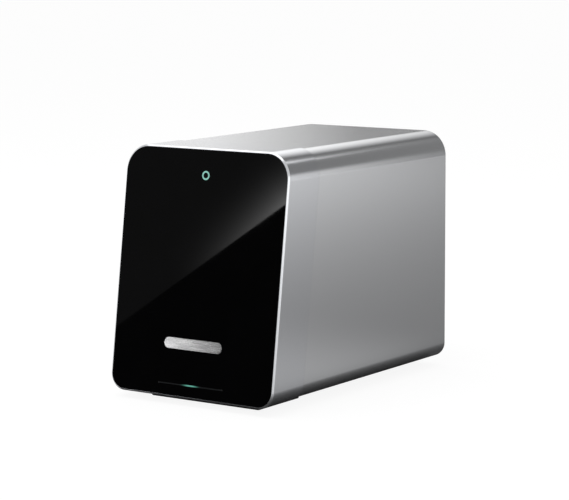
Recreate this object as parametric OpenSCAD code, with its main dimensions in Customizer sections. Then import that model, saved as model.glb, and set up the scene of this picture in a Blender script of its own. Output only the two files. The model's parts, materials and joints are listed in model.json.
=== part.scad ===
// Desktop scanner for small phosphor imaging plates.
// Millimetres. +Z is up, the front faces -Y, and the origin is on the table under the middle of the body.

/* [Body] */
// Width over the front bezel
body_w = 122; // [114:1:150]
// Height of the body without its feet
body_h = 150; // [145:1:190]
// Depth at the base, from the front edge to the rear end of the sleeve
body_d = 199; // [192:1:260]
// Radius of the two upper long corners
top_r = 16.5; // [12:0.5:20]
// Radius of the two lower long corners
low_r = 10.5; // [9:0.5:14]
// Lean of the front face from upright, in degrees
rake = 8.1; // [4:0.1:11]
// Height of the feet, which is the ground clearance under the body
foot_h = 4.6; // [3.6:0.1:7]

/* [Bezel and sleeve] */
// Depth of the bezel along its sides
bezel_d = 32; // [30:0.5:40]
// How far the bezel stands proud of the sleeve
bezel_step = 0.7; // [0.4:0.1:1.4]
// Width of the bare metal rim around the front panel
rim_w = 1.1; // [1:0.1:2.5]
// Width of the slope on the rim's outer edge
rim_slope = 0.9; // [0.3:0.1:0.9]
// Wall of the sleeve
sleeve_wall = 2.5; // [2:0.1:3.5]
// Wall of the frame inside the bezel, whose rear end plugs into the sleeve
tongue_wall = 1.8; // [1.4:0.1:2.6]
// Length of the frame's end in the sleeve
tongue_l = 7; // [6:0.5:11]
// Glue gap between the bezel and the frame inside it
glue_gap = 0.1; // [0.05:0.05:0.2]
// Gap that shows as the seam between bezel and sleeve
seam_gap = 0.25; // [0.1:0.05:0.5]
// Clearance between the casing parts that slide together
fit_gap = 0.2; // [0.1:0.05:0.4]
// Outer diameter of the two screw channels along the top of the sleeve
channel_d = 7; // [6:0.5:9]

/* [Front panel] */
// Thickness of the front panel
panel_t = 3; // [2:0.1:4]
// How far the panel lies below the front edge of the rim
panel_sink = 0.3; // [0.1:0.1:0.6]
// Thickness of the adhesive frame behind the panel
tape_t = 0.5; // [0.3:0.1:1]
// Outer diameter of the lit ring
ring_od = 5.5; // [5:0.1:8]
// Inner diameter of the lit ring
ring_id = 3.5; // [2.5:0.1:4.5]
// Distance of the ring below the top of the face
ring_drop = 16.5; // [14:0.5:30]
// Length of the light bar
bar_w = 48; // [40:0.1:60]
// Height of the light bar
bar_h = 0.8; // [0.6:0.1:2]
// Distance of the light bar above the bottom of the face
bar_up = 8.1; // [7:0.1:12]
// Depth of the pockets that hold the ring and the bar
inlay_t = 0.8; // [0.5:0.1:1.2]

/* [Plate drawer] */
// How far the drawer front reaches past the tray on each side
pull_side = 1.95; // [1.8:0.05:4]
// How far the drawer front reaches past the tray above and below
pull_edge = 0.15; // [0.1:0.05:1]
// Thickness of the drawer front
pull_t = 5; // [4:0.1:7]
// How far the drawer front stands proud of the panel
pull_proud = 0.4; // [0:0.1:0.8]
// Height of the drawer's middle above the underside of the body
drawer_up = 32.4; // [31:0.1:36]
// Clearance around the drawer front in the panel
slot_gap = 0.35; // [0.2:0.05:0.6]
// Travel of the drawer outwards, for loading
travel_out = 56; // [50:0.5:60]
// Width of the largest plate
plate_w = 31; // [24:0.5:34]
// Length of the largest plate
plate_l = 41; // [35:0.5:46]
// Space around the plate in its well
plate_gap = 1; // [0.5:0.1:1.5]
// Depth of the plate well
well_depth = 4.5; // [4.2:0.1:4.8]
// Wall of the tray on each side of the well
tray_side = 3; // [2.5:0.1:4]
// Height of the tray
tray_h = 6.2; // [6.2:0.1:6.6]
// Wall of the tray between its front end and the well
tray_lip = 4; // [3:0.5:6]
// Length of the carriage block
carriage_l = 20; // [16:0.5:22]
// Diameter of the two magnets in the well
magnet_d = 6; // [4:0.5:8]

/* [Drive] */
// Diameter of the guide rods
rod_d = 5; // [4:0.5:6]
// Distance between the guide rods
rod_span = 62; // [60:0.5:66]
// Outer diameter of the lead screw
screw_d = 6; // [5:0.5:7]
// Height of the lead screw above the chassis plate
screw_up = 12; // [11.5:0.1:13]
// Side of the square stepper motor
motor_side = 20; // [18:0.5:22]
// Length of the stepper motor
motor_l = 30; // [24:0.5:32]
// Thickness of the two bearer plates
bearer_t = 6; // [5:0.5:8]
// Distance of the front bearer behind the foot of the face
bearer_set = 20; // [18:0.5:22]
// Radial clearance of parts that turn or slide
run_gap = 0.05; // [0.03:0.01:0.08]

/* [Chassis and optics] */
// Gap between the bezel's inner floor and the chassis plate
chassis_lift = 0.4; // [0.3:0.1:1.5]
// Thickness of the chassis plate
chassis_t = 2; // [1.8:0.1:3]
// Thickness of the optics deck
deck_t = 3; // [2:0.1:4]
// Height of the optics deck above the chassis plate
deck_up = 45.6; // [45:0.1:50]
// Height of the laser beam above the deck
beam_up = 20; // [19:0.5:24]
// Width across the flats of the mirror wheel
wheel_w = 26; // [22:0.5:28]
// Distance of the scan line behind the foot of the face
scan_set = 58; // [56:0.5:60]
// Diameter of the photomultiplier
tube_d = 15; // [12:0.5:16]

/* [Rear panel] */
// Depth of the recess behind the rear end of the sleeve
rear_inset = 6; // [4.5:0.5:8]
// Thickness of the rear panel
rear_t = 3; // [2:0.1:4]
// Height of the sockets and the switch above the underside of the body
socket_up = 40; // [38:0.5:60]
// Tilt of the power rocker to either side, in degrees
rocker_tilt = 8; // [5:0.5:10]

/* [Feet] */
// Width of the front foot
front_foot_w = 84; // [70:1:90]
// How far the front foot reaches behind the bezel
front_foot_reach = 28; // [24:0.5:34]
// Distance of the front foot behind the front edge
front_foot_set = 14; // [12:0.5:18]
// Width of the rear foot
rear_foot_w = 62; // [50:1:66]
// Length of the rear foot
rear_foot_l = 24; // [20:1:30]
// Distance of the rear foot in front of the rear end
rear_foot_set = 22; // [16:0.5:30]
// Width of the slope around the foot pads
foot_bevel = 1.6; // [0.5:0.1:2.5]

/* [Hidden] */
$fn = 64;
eps = 0.01;
far = 600;

front_y = -body_d / 2;
rear_y = body_d / 2;
bezel_t = bezel_d * cos(rake);

// Insets from the bezel's outline
sleeve_in = bezel_step + sleeve_wall;
tongue_out = sleeve_in + fit_gap;
bezel_in = tongue_out + tongue_wall;
panel_edge = rim_w + fit_gap;
inner_r = max(low_r - bezel_in, 1);

// Levels outwards from the front face
panel_back = -panel_sink - panel_t;
tape_back = panel_back - tape_t;
pull_back = -panel_sink + pull_proud - pull_t;

// Heights
inner_floor = foot_h + sleeve_in;
chassis_z = foot_h + bezel_in + chassis_lift;
chassis_top = chassis_z + chassis_t;
tray_z = foot_h + drawer_up;
tray_top = tray_z + tray_h / 2;
screw_z = chassis_top + screw_up;
deck_z = chassis_top + deck_up;
deck_top = deck_z + deck_t;
beam_z = deck_top + beam_up;
face_l = body_h / cos(rake);

// Drawer widths
well_w = plate_w + 2 * plate_gap;
well_l = plate_l + 2 * plate_gap;
tray_w = well_w + 2 * tray_side;
pull_w = tray_w + 2 * pull_side;
pull_h = tray_h + 2 * pull_edge;

// Plan positions from front to back
stop_gap = 2;
motor_gap = 2;
bearer_back = front_y + bearer_set + bearer_t;
carriage_y = bearer_back + stop_gap + travel_out;
carriage_back = carriage_y + carriage_l;
rear_face = rear_y - rear_inset;
rear_in = rear_face - rear_t;
motor_back = rear_in - motor_gap;
motor_front = motor_back - motor_l;
rear_bearer_y = motor_front - bearer_t;
scan_y = front_y + scan_set;
well_y = front_y + drawer_up * tan(rake) + (pull_t - pull_proud + panel_sink) / cos(rake) + tray_lip
    + tray_h / 2 * tan(rake);
well_floor = tray_top - well_depth;

// Chassis, deck and what stands on them
chassis_gap = 0.5;
deck_gap = 3;
deck_front = 14;
inner_w = body_w - 2 * bezel_in;
chassis_w = inner_w - 2 * inner_r + 2 * sqrt(2 * inner_r * chassis_lift - pow(chassis_lift, 2))
    - 2 * chassis_gap;
deck_w = inner_w - 2 * deck_gap;
deck_y = scan_y - deck_front;
deck_l = 106;
rod_eye_d = 14;
bearer_w = rod_span + rod_eye_d;
post_d = 6;
post_gap = 1.5;
post_front = 4;
post_rear = 5;
post_x = bearer_w / 2 + post_d / 2 + post_gap;
post_ys = [deck_y + post_front, deck_y + deck_l - post_rear];
wheel_set = 60;
wheel_y = scan_y + wheel_set;
lens_set = 30;
lens_y = scan_y + lens_set;
lens_w = 50;
guide_w = 43;
guide_t = 4;
guide_set = 3;
guide_y = scan_y + guide_set;
tube_set = 11;
tube_y = scan_y + tube_set;
tube_lift = 2;
tube_z = deck_top + tube_d / 2 + tube_lift;
board_x = -deck_w / 2;
board_l = 76;
board_h = 56;
board_set = 4;
board_y = scan_y + board_set;
board_stand = 3;
board_t = 1.6;

// Fasteners
m3 = 3;
m2 = 2;
tap_gap = 0.05;
hole_gap = 0.15;
fit_slack = 0.04;
front_foot_l = bezel_d + front_foot_reach - front_foot_set;
front_foot_screw_in = 11;
front_foot_screw_set = 9;
rear_foot_screw_in = 10;
foot_screws = [
    [front_foot_w / 2 - front_foot_screw_in, front_y + bezel_d + tongue_l / cos(rake) + front_foot_screw_set],
    [rear_foot_w / 2 - rear_foot_screw_in, rear_y - rear_foot_set - rear_foot_l / 2]
];
bearer_hole_in = 9;
bearer_hole_x = rod_span / 2 - bearer_hole_in;
head_margin = 0.9;
rear_screw_in = top_r - (top_r - tongue_out - m3 * 0.9 - head_margin) / sqrt(2);
rear_screw_x = body_w / 2 - rear_screw_in;
rear_screw_top = foot_h + body_h - rear_screw_in;
rear_tab_in = 8;
rear_tab_x = chassis_w / 2 - rear_tab_in;
rear_tab_w = 14;
rear_tab_h = 13;
rear_tab_hole_up = 6;
rear_tab_hole = chassis_top + rear_tab_hole_up;

// Rear sockets
rocker_x = -30;
rocker_w = 13;
rocker_h = 19;
rocker_depth = 16;
switch_lip = 1.5;
dc_x = 10;
dc_d = 8;
usb_x = 32;
usb_w = 12;
usb_h = 11;
socket_z = foot_h + socket_up;
rocker_r = 9;
pivot_depth = 3.5;
rocker_pivot = rear_face - pivot_depth;

// Shared shapes

module rounded_rect(w, h, r) {
    square([w - 2 * r, h], center = true);
    square([w, h - 2 * r], center = true);
    for (x = [-1, 1], y = [-1, 1]) translate([x * (w / 2 - r), y * (h / 2 - r)]) circle(r);
}

module stadium(w, h) {
    square([w - h, h], center = true);
    for (x = [-1, 1]) translate([x * (w - h) / 2, 0]) circle(h / 2);
}

// A flat outline drawn in X and Z, extruded along Y between two places
module along_y(y_from, y_to, z = 0) {
    translate([0, y_to, z]) rotate([90, 0, 0]) linear_extrude(y_to - y_from) children();
}

// The body's cross-section about its middle, drawn in by an inset
module body_outline(inset) {
    w = body_w / 2 - inset;
    h = body_h / 2 - inset;
    upper = max(top_r - inset, 1);
    lower = max(low_r - inset, 1);
    translate([-w, lower - h]) square([2 * w, 2 * h - lower - upper]);
    translate([upper - w, 0]) square([2 * (w - upper), h]);
    translate([lower - w, -h]) square([2 * (w - lower), h]);
    for (x = [-1, 1]) {
        translate([x * (w - upper), h - upper]) circle(upper);
        translate([x * (w - lower), lower - h]) circle(lower);
    }
}

// The same between two places along Y
module body_prism(inset, y_from, y_to) {
    along_y(y_from, y_to, foot_h + body_h / 2) body_outline(inset);
}

// Places children on the leaning face: X across, Y up the face, Z outwards
module on_face(up = 0, out = 0) {
    translate([0, front_y, foot_h]) rotate([90 - rake, 0, 0]) translate([0, up, out]) children();
}

// Everything between two levels outwards from the leaning face
module raked_slab(out_from, out_to) {
    on_face(0, out_from) linear_extrude(out_to - out_from) square([far, far], center = true);
}

module tube(d_out, d_in, l) {
    difference() {
        cylinder(d = d_out, h = l);
        translate([0, 0, -1]) cylinder(d = d_in, h = l + 2);
    }
}

module box(x, y, z) {
    translate([x[0], y[0], z[0]]) cube([x[1] - x[0], y[1] - y[0], z[1] - z[0]]);
}

// Axis along Y, from y to y + l
module shaft_y(d, y, l, x = 0, z = 0) {
    translate([x, y, z]) rotate([-90, 0, 0]) cylinder(d = d, h = l);
}

// Axis along X, from x to x + l
module shaft_x(d, x, l, y = 0, z = 0) {
    translate([x, y, z]) rotate([0, 90, 0]) cylinder(d = d, h = l);
}

// Cap screw with its head above z = 0 and its shank below
module cap_screw(d, l) {
    head_h = d * 0.7;
    difference() {
        union() {
            cylinder(d = d * 1.8, h = head_h);
            translate([0, 0, -l]) cylinder(d = d, h = l + eps);
        }
        translate([0, 0, head_h * 0.45]) cylinder(d = d, h = head_h, $fn = 6);
    }
}

// Countersunk screw with its head flush at z = 0
module flush_screw(d, l) {
    head_h = d * 0.5;
    difference() {
        union() {
            translate([0, 0, -head_h]) cylinder(d1 = d, d2 = d * 1.8, h = head_h);
            translate([0, 0, -l]) cylinder(d = d, h = l - head_h + eps);
        }
        translate([0, 0, -d * 0.35]) cylinder(d = d * 0.75, h = d, $fn = 6);
    }
}

// The hole that a flush screw sinks into
module flush_hole(d, l) {
    head_h = d * 0.5;
    grow = 2 * hole_gap;
    translate([0, 0, -head_h]) cylinder(d1 = d + grow, d2 = d * 1.8 + grow, h = head_h + eps);
    translate([0, 0, -l]) cylinder(d = d + grow, h = l);
}

// Pad with sloping sides: its underside is smaller by the bevel all round
module pad(w, l, h, bevel) {
    intersection() {
        translate([0, l / 2, 0]) rotate([90, 0, 0]) linear_extrude(l)
            polygon([[-w / 2 + bevel, 0], [w / 2 - bevel, 0], [w / 2, h], [-w / 2, h]]);
        translate([-w / 2, 0, 0]) rotate([90, 0, 90]) linear_extrude(w)
            polygon([[-l / 2 + bevel, 0], [l / 2 - bevel, 0], [l / 2, h], [-l / 2, h]]);
    }
}

// The drawer front's outline, grown by a margin, along Y
module pull_prism(margin, y_from, y_to) {
    along_y(y_from, y_to, tray_z) stadium(pull_w + 2 * margin, pull_h + 2 * margin);
}

// Casing

// How much rounder the slope's corners are than the body's
rim_ease = 0.5;

// What the slope on the rim's outer edge takes away, from a corner's centre outwards
module rim_profile(r) {
    polygon([[r + 1, -1], [r + 3, -1], [r + 3, rim_slope + 1], [r - rim_slope - 1, rim_slope + 1]]);
}

// The same all round the leaning face: its upper and lower edges with their corners, then its sides
module rim_cut() {
    on_face(face_l / 2, -rim_slope) {
        for (end = [0, 1]) mirror([0, end, 0]) {
            r = (end == 0 ? top_r : low_r) + rim_ease;
            x_mid = body_w / 2 - r;
            y_mid = face_l / 2 - r;
            translate([-x_mid, y_mid, 0]) rotate([90, 0, 90]) linear_extrude(2 * x_mid) rim_profile(r);
            for (side = [0, 1]) mirror([side, 0, 0]) translate([x_mid, y_mid, 0])
                rotate_extrude(angle = 90) rim_profile(r);
        }
        for (side = [0, 1]) mirror([side, 0, 0])
            translate([body_w / 2 - top_r, face_l / 2 - top_r - rim_ease, 0]) rotate([90, 0, 0])
            linear_extrude(face_l - top_r - low_r - 2 * rim_ease) rim_profile(top_r);
    }
}

module front_bezel() color("silver") {
    difference() {
        intersection() {
            body_prism(0, front_y - 1, front_y + bezel_d + body_h);
            raked_slab(-bezel_t, 0);
        }
        rim_cut();
        body_prism(tongue_out - glue_gap, front_y - far / 4, front_y + far / 2);
        intersection() {
            body_prism(rim_w, front_y - 2, front_y + bezel_d + body_h);
            raked_slab(tape_back, far / 4);
        }
    }
}

// Frame glued into the bezel: its front end carries the panel, and its rear end plugs into the sleeve
module joining_frame() color("silver") {
    difference() {
        intersection() {
            body_prism(tongue_out, front_y - 2, front_y + bezel_d + body_h);
            raked_slab(-bezel_t - tongue_l, tape_back);
        }
        body_prism(bezel_in, front_y - far / 4, front_y + far / 2);
        bezel_screw_places() translate([0, 0, -1]) cylinder(d = m3 + 2 * tap_gap, h = far / 4);
    }
}

module front_panel() color([0.02, 0.02, 0.022]) {
    difference() {
        intersection() {
            body_prism(panel_edge, front_y - 2, front_y + bezel_d + body_h);
            raked_slab(panel_back, -panel_sink);
        }
        pull_prism(slot_gap, front_y - bezel_d, front_y + bezel_d);
        on_face(face_l - ring_drop, -panel_sink - inlay_t) linear_extrude(inlay_t + 1)
            ring_outline(fit_gap / 10);
        on_face(bar_up, -panel_sink - inlay_t) linear_extrude(inlay_t + 1)
            stadium(bar_w + fit_gap / 5, bar_h + fit_gap / 5);
    }
}

module ring_outline(grow) {
    difference() {
        circle(d = ring_od + 2 * grow);
        circle(d = ring_id - 2 * grow);
    }
}

module panel_tape() color([0.1, 0.1, 0.1]) {
    difference() {
        intersection() {
            body_prism(panel_edge, front_y - 2, front_y + bezel_d + body_h);
            raked_slab(tape_back, panel_back);
        }
        body_prism(bezel_in, front_y - far / 4, front_y + far / 2);
    }
}

module ring_window() color([0.45, 0.95, 0.85]) {
    on_face(face_l - ring_drop, -panel_sink - inlay_t) linear_extrude(inlay_t) ring_outline(0);
}

module bar_window() color([0.1, 0.45, 0.35]) {
    on_face(bar_up, -panel_sink - inlay_t) linear_extrude(inlay_t) stadium(bar_w, bar_h);
}

block_l = 4;
block_rim = 1.5;
module ring_light_block() color("white") {
    on_face(face_l - ring_drop, panel_back - block_l) tube(ring_od + 2 * block_rim, ring_id, block_l);
}

ring_board_w = 20;
ring_board_h = 16;
lamp_h = 1.2;
lamp_gap = 0.3;
module indicator_board() color([0.05, 0.3, 0.15]) {
    on_face(face_l - ring_drop, panel_back - block_l - board_t)
        translate([-ring_board_w / 2, -ring_board_h / 2, 0]) cube([ring_board_w, ring_board_h, board_t]);
    on_face(face_l - ring_drop, panel_back - block_l - board_t / 2)
        cylinder(d = ring_id - 2 * lamp_gap, h = lamp_h + board_t / 2);
}

bar_board_h = 4.5;
module bar_light_board() color([0.05, 0.3, 0.15]) {
    on_face(bar_up - bar_h, panel_back - board_t) translate([-bar_w / 2, 0, 0])
        cube([bar_w, bar_board_h, board_t]);
}

seal_t = 4;
seal_w = 3;
module slot_seal() color([0.06, 0.06, 0.06]) {
    difference() {
        intersection() {
            pull_prism(slot_gap + seal_w, front_y - bezel_d, front_y + bezel_d);
            raked_slab(panel_back - seal_t, panel_back);
        }
        pull_prism(slot_gap, front_y - bezel_d, front_y + bezel_d);
    }
}

channel_tap_l = 15;
module housing_sleeve() color([0.62, 0.63, 0.65]) {
    difference() {
        union() {
            difference() {
                intersection() {
                    body_prism(bezel_step, front_y, rear_y);
                    raked_slab(-far / 2, -bezel_t - seam_gap);
                }
                body_prism(sleeve_in, front_y - far / 4, far / 2);
            }
            screw_channels();
        }
        for (x = [-1, 1])
            shaft_y(m3 + 2 * tap_gap, rear_in - channel_tap_l, far / 4, x * rear_screw_x, rear_screw_top);
        for (p = foot_screws, x = [-1, 1]) translate([x * p[0], p[1], foot_h - 1])
            cylinder(d = m3 + 2 * hole_gap, h = sleeve_in + 2);
        bezel_screw_places() translate([0, 0, bezel_step]) mirror([0, 0, 1]) flush_hole(m3, far / 8);
    }
}

// Two screw channels in solid top corners, which take the rear panel's upper screws
module screw_channels() {
    intersection() {
        for (x = [-1, 1]) shaft_y(channel_d, front_y, rear_in - front_y, x * rear_screw_x, rear_screw_top);
        raked_slab(-far / 2, -bezel_t - tongue_l - 1);
    }
    intersection() {
        for (x = [-1, 1]) along_y(front_y, rear_in) translate([x * rear_screw_x, rear_screw_top])
            rotate(-45 * x) translate([-top_r, -channel_d / 8]) square([2 * top_r, top_r]);
        raked_slab(-far / 2, -bezel_t - tongue_l - 1);
        body_prism(bezel_step + sleeve_wall / 2, front_y, rear_y);
    }
}

bezel_screw_out = 5;
bezel_screw_set = 4.5;
bezel_screw_x = min(front_foot_w / 2 + bezel_screw_out, body_w / 2 - low_r - 1);
module bezel_screw_places() {
    for (x = [-1, 1]) translate([x * bezel_screw_x, front_y + bezel_d + bezel_screw_set, foot_h]) children();
}

module bezel_screws() color("gray") {
    bezel_screw_places() translate([0, 0, bezel_step]) mirror([0, 0, 1])
        flush_screw(m3, sleeve_wall + tongue_wall);
}

module rear_panel() color([0.16, 0.16, 0.17]) {
    difference() {
        body_prism(tongue_out, rear_in, rear_face);
        rear_screw_places() flush_hole(m3, rear_t + 1);
        along_y(rear_in - 1, rear_face + 1) translate([rocker_x, socket_z])
            square([rocker_w + 2 * fit_gap, rocker_h + 2 * fit_gap], center = true);
        shaft_y(dc_d + 2 * fit_gap, rear_in - 1, rear_t + 2, dc_x, socket_z);
        along_y(rear_in - 1, rear_face + 1) translate([usb_x, socket_z])
            square([usb_w + 2 * fit_gap, usb_h + 2 * fit_gap], center = true);
    }
}

// Screws along -Y into the rear panel's outer face, two at the top and two at the bottom
module rear_screw_places() {
    for (x = [-1, 1]) {
        translate([x * rear_screw_x, rear_face, rear_screw_top]) rotate([-90, 0, 0]) children();
        translate([x * rear_tab_x, rear_face, rear_tab_hole]) rotate([-90, 0, 0]) children();
    }
}

rear_screw_grip = 5;
module rear_panel_screws() color("silver") {
    rear_screw_places() flush_screw(m3, rear_t + rear_screw_grip);
}

dc_l = 12;
dc_flange_d = 12;
dc_flange_t = 1.2;
dc_nut_t = 2;
dc_bore = 5.6;
dc_bore_l = 10;
dc_pin_d = 2;
dc_pin_l = 9;
module dc_inlet() color([0.05, 0.05, 0.05]) {
    difference() {
        union() {
            shaft_y(dc_d, rear_face - dc_l, dc_l + eps, dc_x, socket_z);
            shaft_y(dc_flange_d, rear_face, dc_flange_t, dc_x, socket_z);
            translate([dc_x, rear_in, socket_z]) rotate([90, 0, 0])
                cylinder(d = dc_flange_d, h = dc_nut_t, $fn = 6);
        }
        shaft_y(dc_bore, rear_face - dc_bore_l, dc_bore_l + 2 * dc_flange_t, dc_x, socket_z);
    }
    shaft_y(dc_pin_d, rear_face - dc_bore_l - eps, dc_pin_l, dc_x, socket_z);
}

usb_l = 15;
usb_wall = 0.5;
usb_floor = 1;
usb_proud = 0.8;
usb_flange = 2;
usb_flange_t = 1;
module usb_socket() color("silver") {
    difference() {
        union() {
            box([usb_x - usb_w / 2, usb_x + usb_w / 2], [rear_face - usb_l, rear_face + usb_proud],
                [socket_z - usb_h / 2, socket_z + usb_h / 2]);
            box([usb_x - usb_w / 2 - usb_flange, usb_x + usb_w / 2 + usb_flange],
                [rear_in - usb_flange_t, rear_in],
                [socket_z - usb_h / 2 - usb_flange, socket_z + usb_h / 2 + usb_flange]);
        }
        box([usb_x - usb_w / 2 + usb_wall, usb_x + usb_w / 2 - usb_wall],
            [rear_face - usb_l + usb_floor, rear_face + 2 * usb_proud],
            [socket_z - usb_h / 2 + usb_wall, socket_z + usb_h / 2 - usb_wall]);
    }
}

usb_tongue_w = 5.8;
usb_tongue_h = 3.2;
usb_tongue_in = 5;
module usb_tongue() color([0.9, 0.9, 0.9]) {
    box([usb_x - usb_tongue_w / 2, usb_x + usb_tongue_w / 2],
        [rear_face - usb_l + usb_floor, rear_face - usb_tongue_in],
        [socket_z - usb_tongue_h / 2, socket_z + usb_tongue_h / 2]);
}

switch_wall = 1;
switch_rim = 1.5;
switch_rim_r = 1.2;
pivot_d = 2;
pivot_l = 1.2;
module switch_housing() color([0.04, 0.04, 0.04]) {
    difference() {
        union() {
            along_y(rear_face - rocker_depth, rear_face + eps) translate([rocker_x, socket_z])
                square([rocker_w, rocker_h], center = true);
            along_y(rear_face, rear_face + switch_lip) translate([rocker_x, socket_z])
                rounded_rect(rocker_w + 2 * switch_rim, rocker_h + 2 * switch_rim, switch_rim_r);
        }
        along_y(rear_face - rocker_depth + switch_wall, rear_face + 2 * switch_lip)
            translate([rocker_x, socket_z])
            square([rocker_w - 2 * switch_wall, rocker_h - 2 * switch_wall], center = true);
    }
    for (x = [-1, 1]) translate([rocker_x + x * (rocker_w - 2 * switch_wall - pivot_l) / 2, 0, 0])
        shaft_x(pivot_d, -pivot_l / 2 - eps, pivot_l + 2 * eps, rocker_pivot, socket_z);
}

rocker_gap = 0.3;
rocker_end = 2.2;
rocker_back = 3.5;
rocker_dish = 3.6;
// The rocker lies tilted with its upper half pressed in
module power_rocker() color([0.09, 0.09, 0.09]) {
    w = rocker_w - 2 * switch_wall - 2 * rocker_gap;
    translate([rocker_x, rocker_pivot, socket_z]) rotate([rocker_tilt, 0, 0]) difference() {
        intersection() {
            translate([-w / 2, -rocker_back, -rocker_h / 2 + rocker_end])
                cube([w, rocker_r + rocker_back, rocker_h - 2 * rocker_end]);
            difference() {
                translate([-w / 2, 0, 0]) shaft_x(2 * rocker_r, 0, w);
                translate([-w, rocker_r + rocker_dish, 0]) shaft_x(2 * rocker_r, 0, 2 * w);
            }
        }
        shaft_x(pivot_d + 2 * run_gap, -w, 2 * w);
    }
}

module foot_pad(w, l, y, screw) {
    difference() {
        translate([0, y, 0]) pad(w, l, foot_h, foot_bevel);
        for (x = [-1, 1]) translate([x * screw[0], screw[1], -1]) {
            cylinder(d = m3 + 2 * hole_gap, h = far / 8);
            cylinder(d = m3 * 2.2, h = 1 + foot_h / 2);
        }
    }
}

step_gap = 1;
// The front foot steps up behind the bezel to meet the sleeve
module front_foot() color([0.07, 0.07, 0.07]) {
    y_mid = front_y + front_foot_set + front_foot_l / 2;
    step_y = front_y + bezel_d + step_gap;
    foot_pad(front_foot_w, front_foot_l, y_mid, foot_screws[0]);
    difference() {
        box([-front_foot_w / 2 + foot_bevel, front_foot_w / 2 - foot_bevel],
            [step_y, y_mid + front_foot_l / 2 - foot_bevel], [foot_h - eps, foot_h + bezel_step]);
        for (x = [-1, 1]) translate([x * foot_screws[0][0], foot_screws[0][1], 0])
            cylinder(d = m3 + 2 * hole_gap, h = far / 8);
    }
}

module rear_foot() color([0.07, 0.07, 0.07]) {
    y_mid = rear_y - rear_foot_set - rear_foot_l / 2;
    foot_pad(rear_foot_w, rear_foot_l, y_mid, foot_screws[1]);
    difference() {
        box([-rear_foot_w / 2 + foot_bevel, rear_foot_w / 2 - foot_bevel],
            [y_mid - rear_foot_l / 2 + foot_bevel, y_mid + rear_foot_l / 2 - foot_bevel],
            [foot_h - eps, foot_h + bezel_step]);
        for (x = [-1, 1]) translate([x * foot_screws[1][0], foot_screws[1][1], 0])
            cylinder(d = m3 + 2 * hole_gap, h = far / 8);
    }
}

foot_screw_short = 0.3;
module foot_screws() color("gray") {
    for (p = foot_screws, x = [-1, 1]) translate([x * p[0], p[1], foot_h / 2]) mirror([0, 0, 1])
        cap_screw(m3, chassis_top - foot_h / 2 - foot_screw_short);
}

// Chassis and plate drive

chassis_nose = 4;
module chassis_base() color([0.7, 0.71, 0.72]) {
    difference() {
        union() {
            box([-chassis_w / 2, chassis_w / 2], [front_y + bearer_set - chassis_nose, rear_in],
                [chassis_z, chassis_top]);
            for (p = foot_screws, x = [-1, 1]) translate([x * p[0], p[1], inner_floor])
                cylinder(d = m3 * 2.6, h = chassis_z - inner_floor + eps);
            for (x = [-1, 1]) translate([x * rear_tab_x, 0, 0])
                box([-rear_tab_w / 2, rear_tab_w / 2], [rear_in - chassis_t, rear_in],
                    [chassis_top - eps, chassis_top + rear_tab_h]);
        }
        for (p = foot_screws, x = [-1, 1]) translate([x * p[0], p[1], 0])
            cylinder(d = m3 + 2 * tap_gap, h = far / 8);
        for (x = [-1, 1])
            shaft_y(m3 + 2 * tap_gap, rear_in - 2 * chassis_t, far / 8, x * rear_tab_x, rear_tab_hole);
        bearer_screw_places() mirror([0, 0, 1]) flush_hole(m3, far / 8);
        for (x = [-1, 1], y = post_ys) translate([x * post_x, y, 0])
            cylinder(d = m3 + 2 * tap_gap, h = far / 8);
    }
}

// Places under the chassis plate where the bearers are screwed on
module bearer_screw_places() {
    for (x = [-1, 1], y = [bearer_back - bearer_t / 2, rear_bearer_y + bearer_t / 2])
        translate([x * bearer_hole_x, y, chassis_z]) children();
}

bearer_grip = 8;
module bearer_screws() color("gray") {
    bearer_screw_places() mirror([0, 0, 1]) flush_screw(m3, chassis_t + bearer_grip);
}

// Plate that stands on the chassis and holds both rods
module bearer_plate(y, screw_hole) {
    difference() {
        union() {
            box([-bearer_w / 2, bearer_w / 2], [y, y + bearer_t], [chassis_top, tray_z]);
            for (x = [-1, 1]) shaft_y(rod_eye_d, y, bearer_t, x * rod_span / 2, tray_z);
        }
        for (x = [-1, 1]) shaft_y(rod_d + fit_slack, y - 1, bearer_t + 2, x * rod_span / 2, tray_z);
        shaft_y(screw_hole, y - 1, bearer_t + 2, 0, screw_z);
        bearer_screw_places() cylinder(d = m3 + 2 * tap_gap, h = chassis_t + bearer_grip + 1);
    }
}

// The passage that the tray and its front need
pass = 1;
module drawer_way() {
    along_y(front_y - far / 4, far / 2, tray_z)
        square([pull_w + 2 * pass, pull_h + 2 * pass], center = true);
    box([-pull_w / 2 - pass, pull_w / 2 + pass], [front_y - far / 4, far / 2], [tray_z, tray_z + far / 4]);
}

bush_d = 8;
module front_bearer() color([0.55, 0.56, 0.58]) {
    difference() {
        bearer_plate(bearer_back - bearer_t, bush_d + fit_slack);
        drawer_way();
    }
}

module screw_bush() color([0.72, 0.55, 0.25]) {
    translate([0, bearer_back - bearer_t, screw_z]) rotate([-90, 0, 0])
        tube(bush_d, journal_d + 2 * run_gap, bearer_t);
}

pilot_d = 15;
module rear_bearer() color([0.55, 0.56, 0.58]) {
    difference() {
        bearer_plate(rear_bearer_y, pilot_d);
        motor_screw_places() rotate([-90, 0, 0]) translate([0, 0, -far / 8])
            cylinder(d = m2 + 2 * hole_gap, h = far / 4);
    }
}

module motor_screw_places() {
    pitch = motor_side * 0.77;
    for (x = [-1, 1], z = [-1, 1])
        translate([x * pitch / 2, rear_bearer_y, screw_z + z * pitch / 2]) children();
}

motor_grip = 3;
module motor_screws() color("gray") {
    motor_screw_places() rotate([90, 0, 0]) cap_screw(m2, bearer_t + motor_grip);
}

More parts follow.
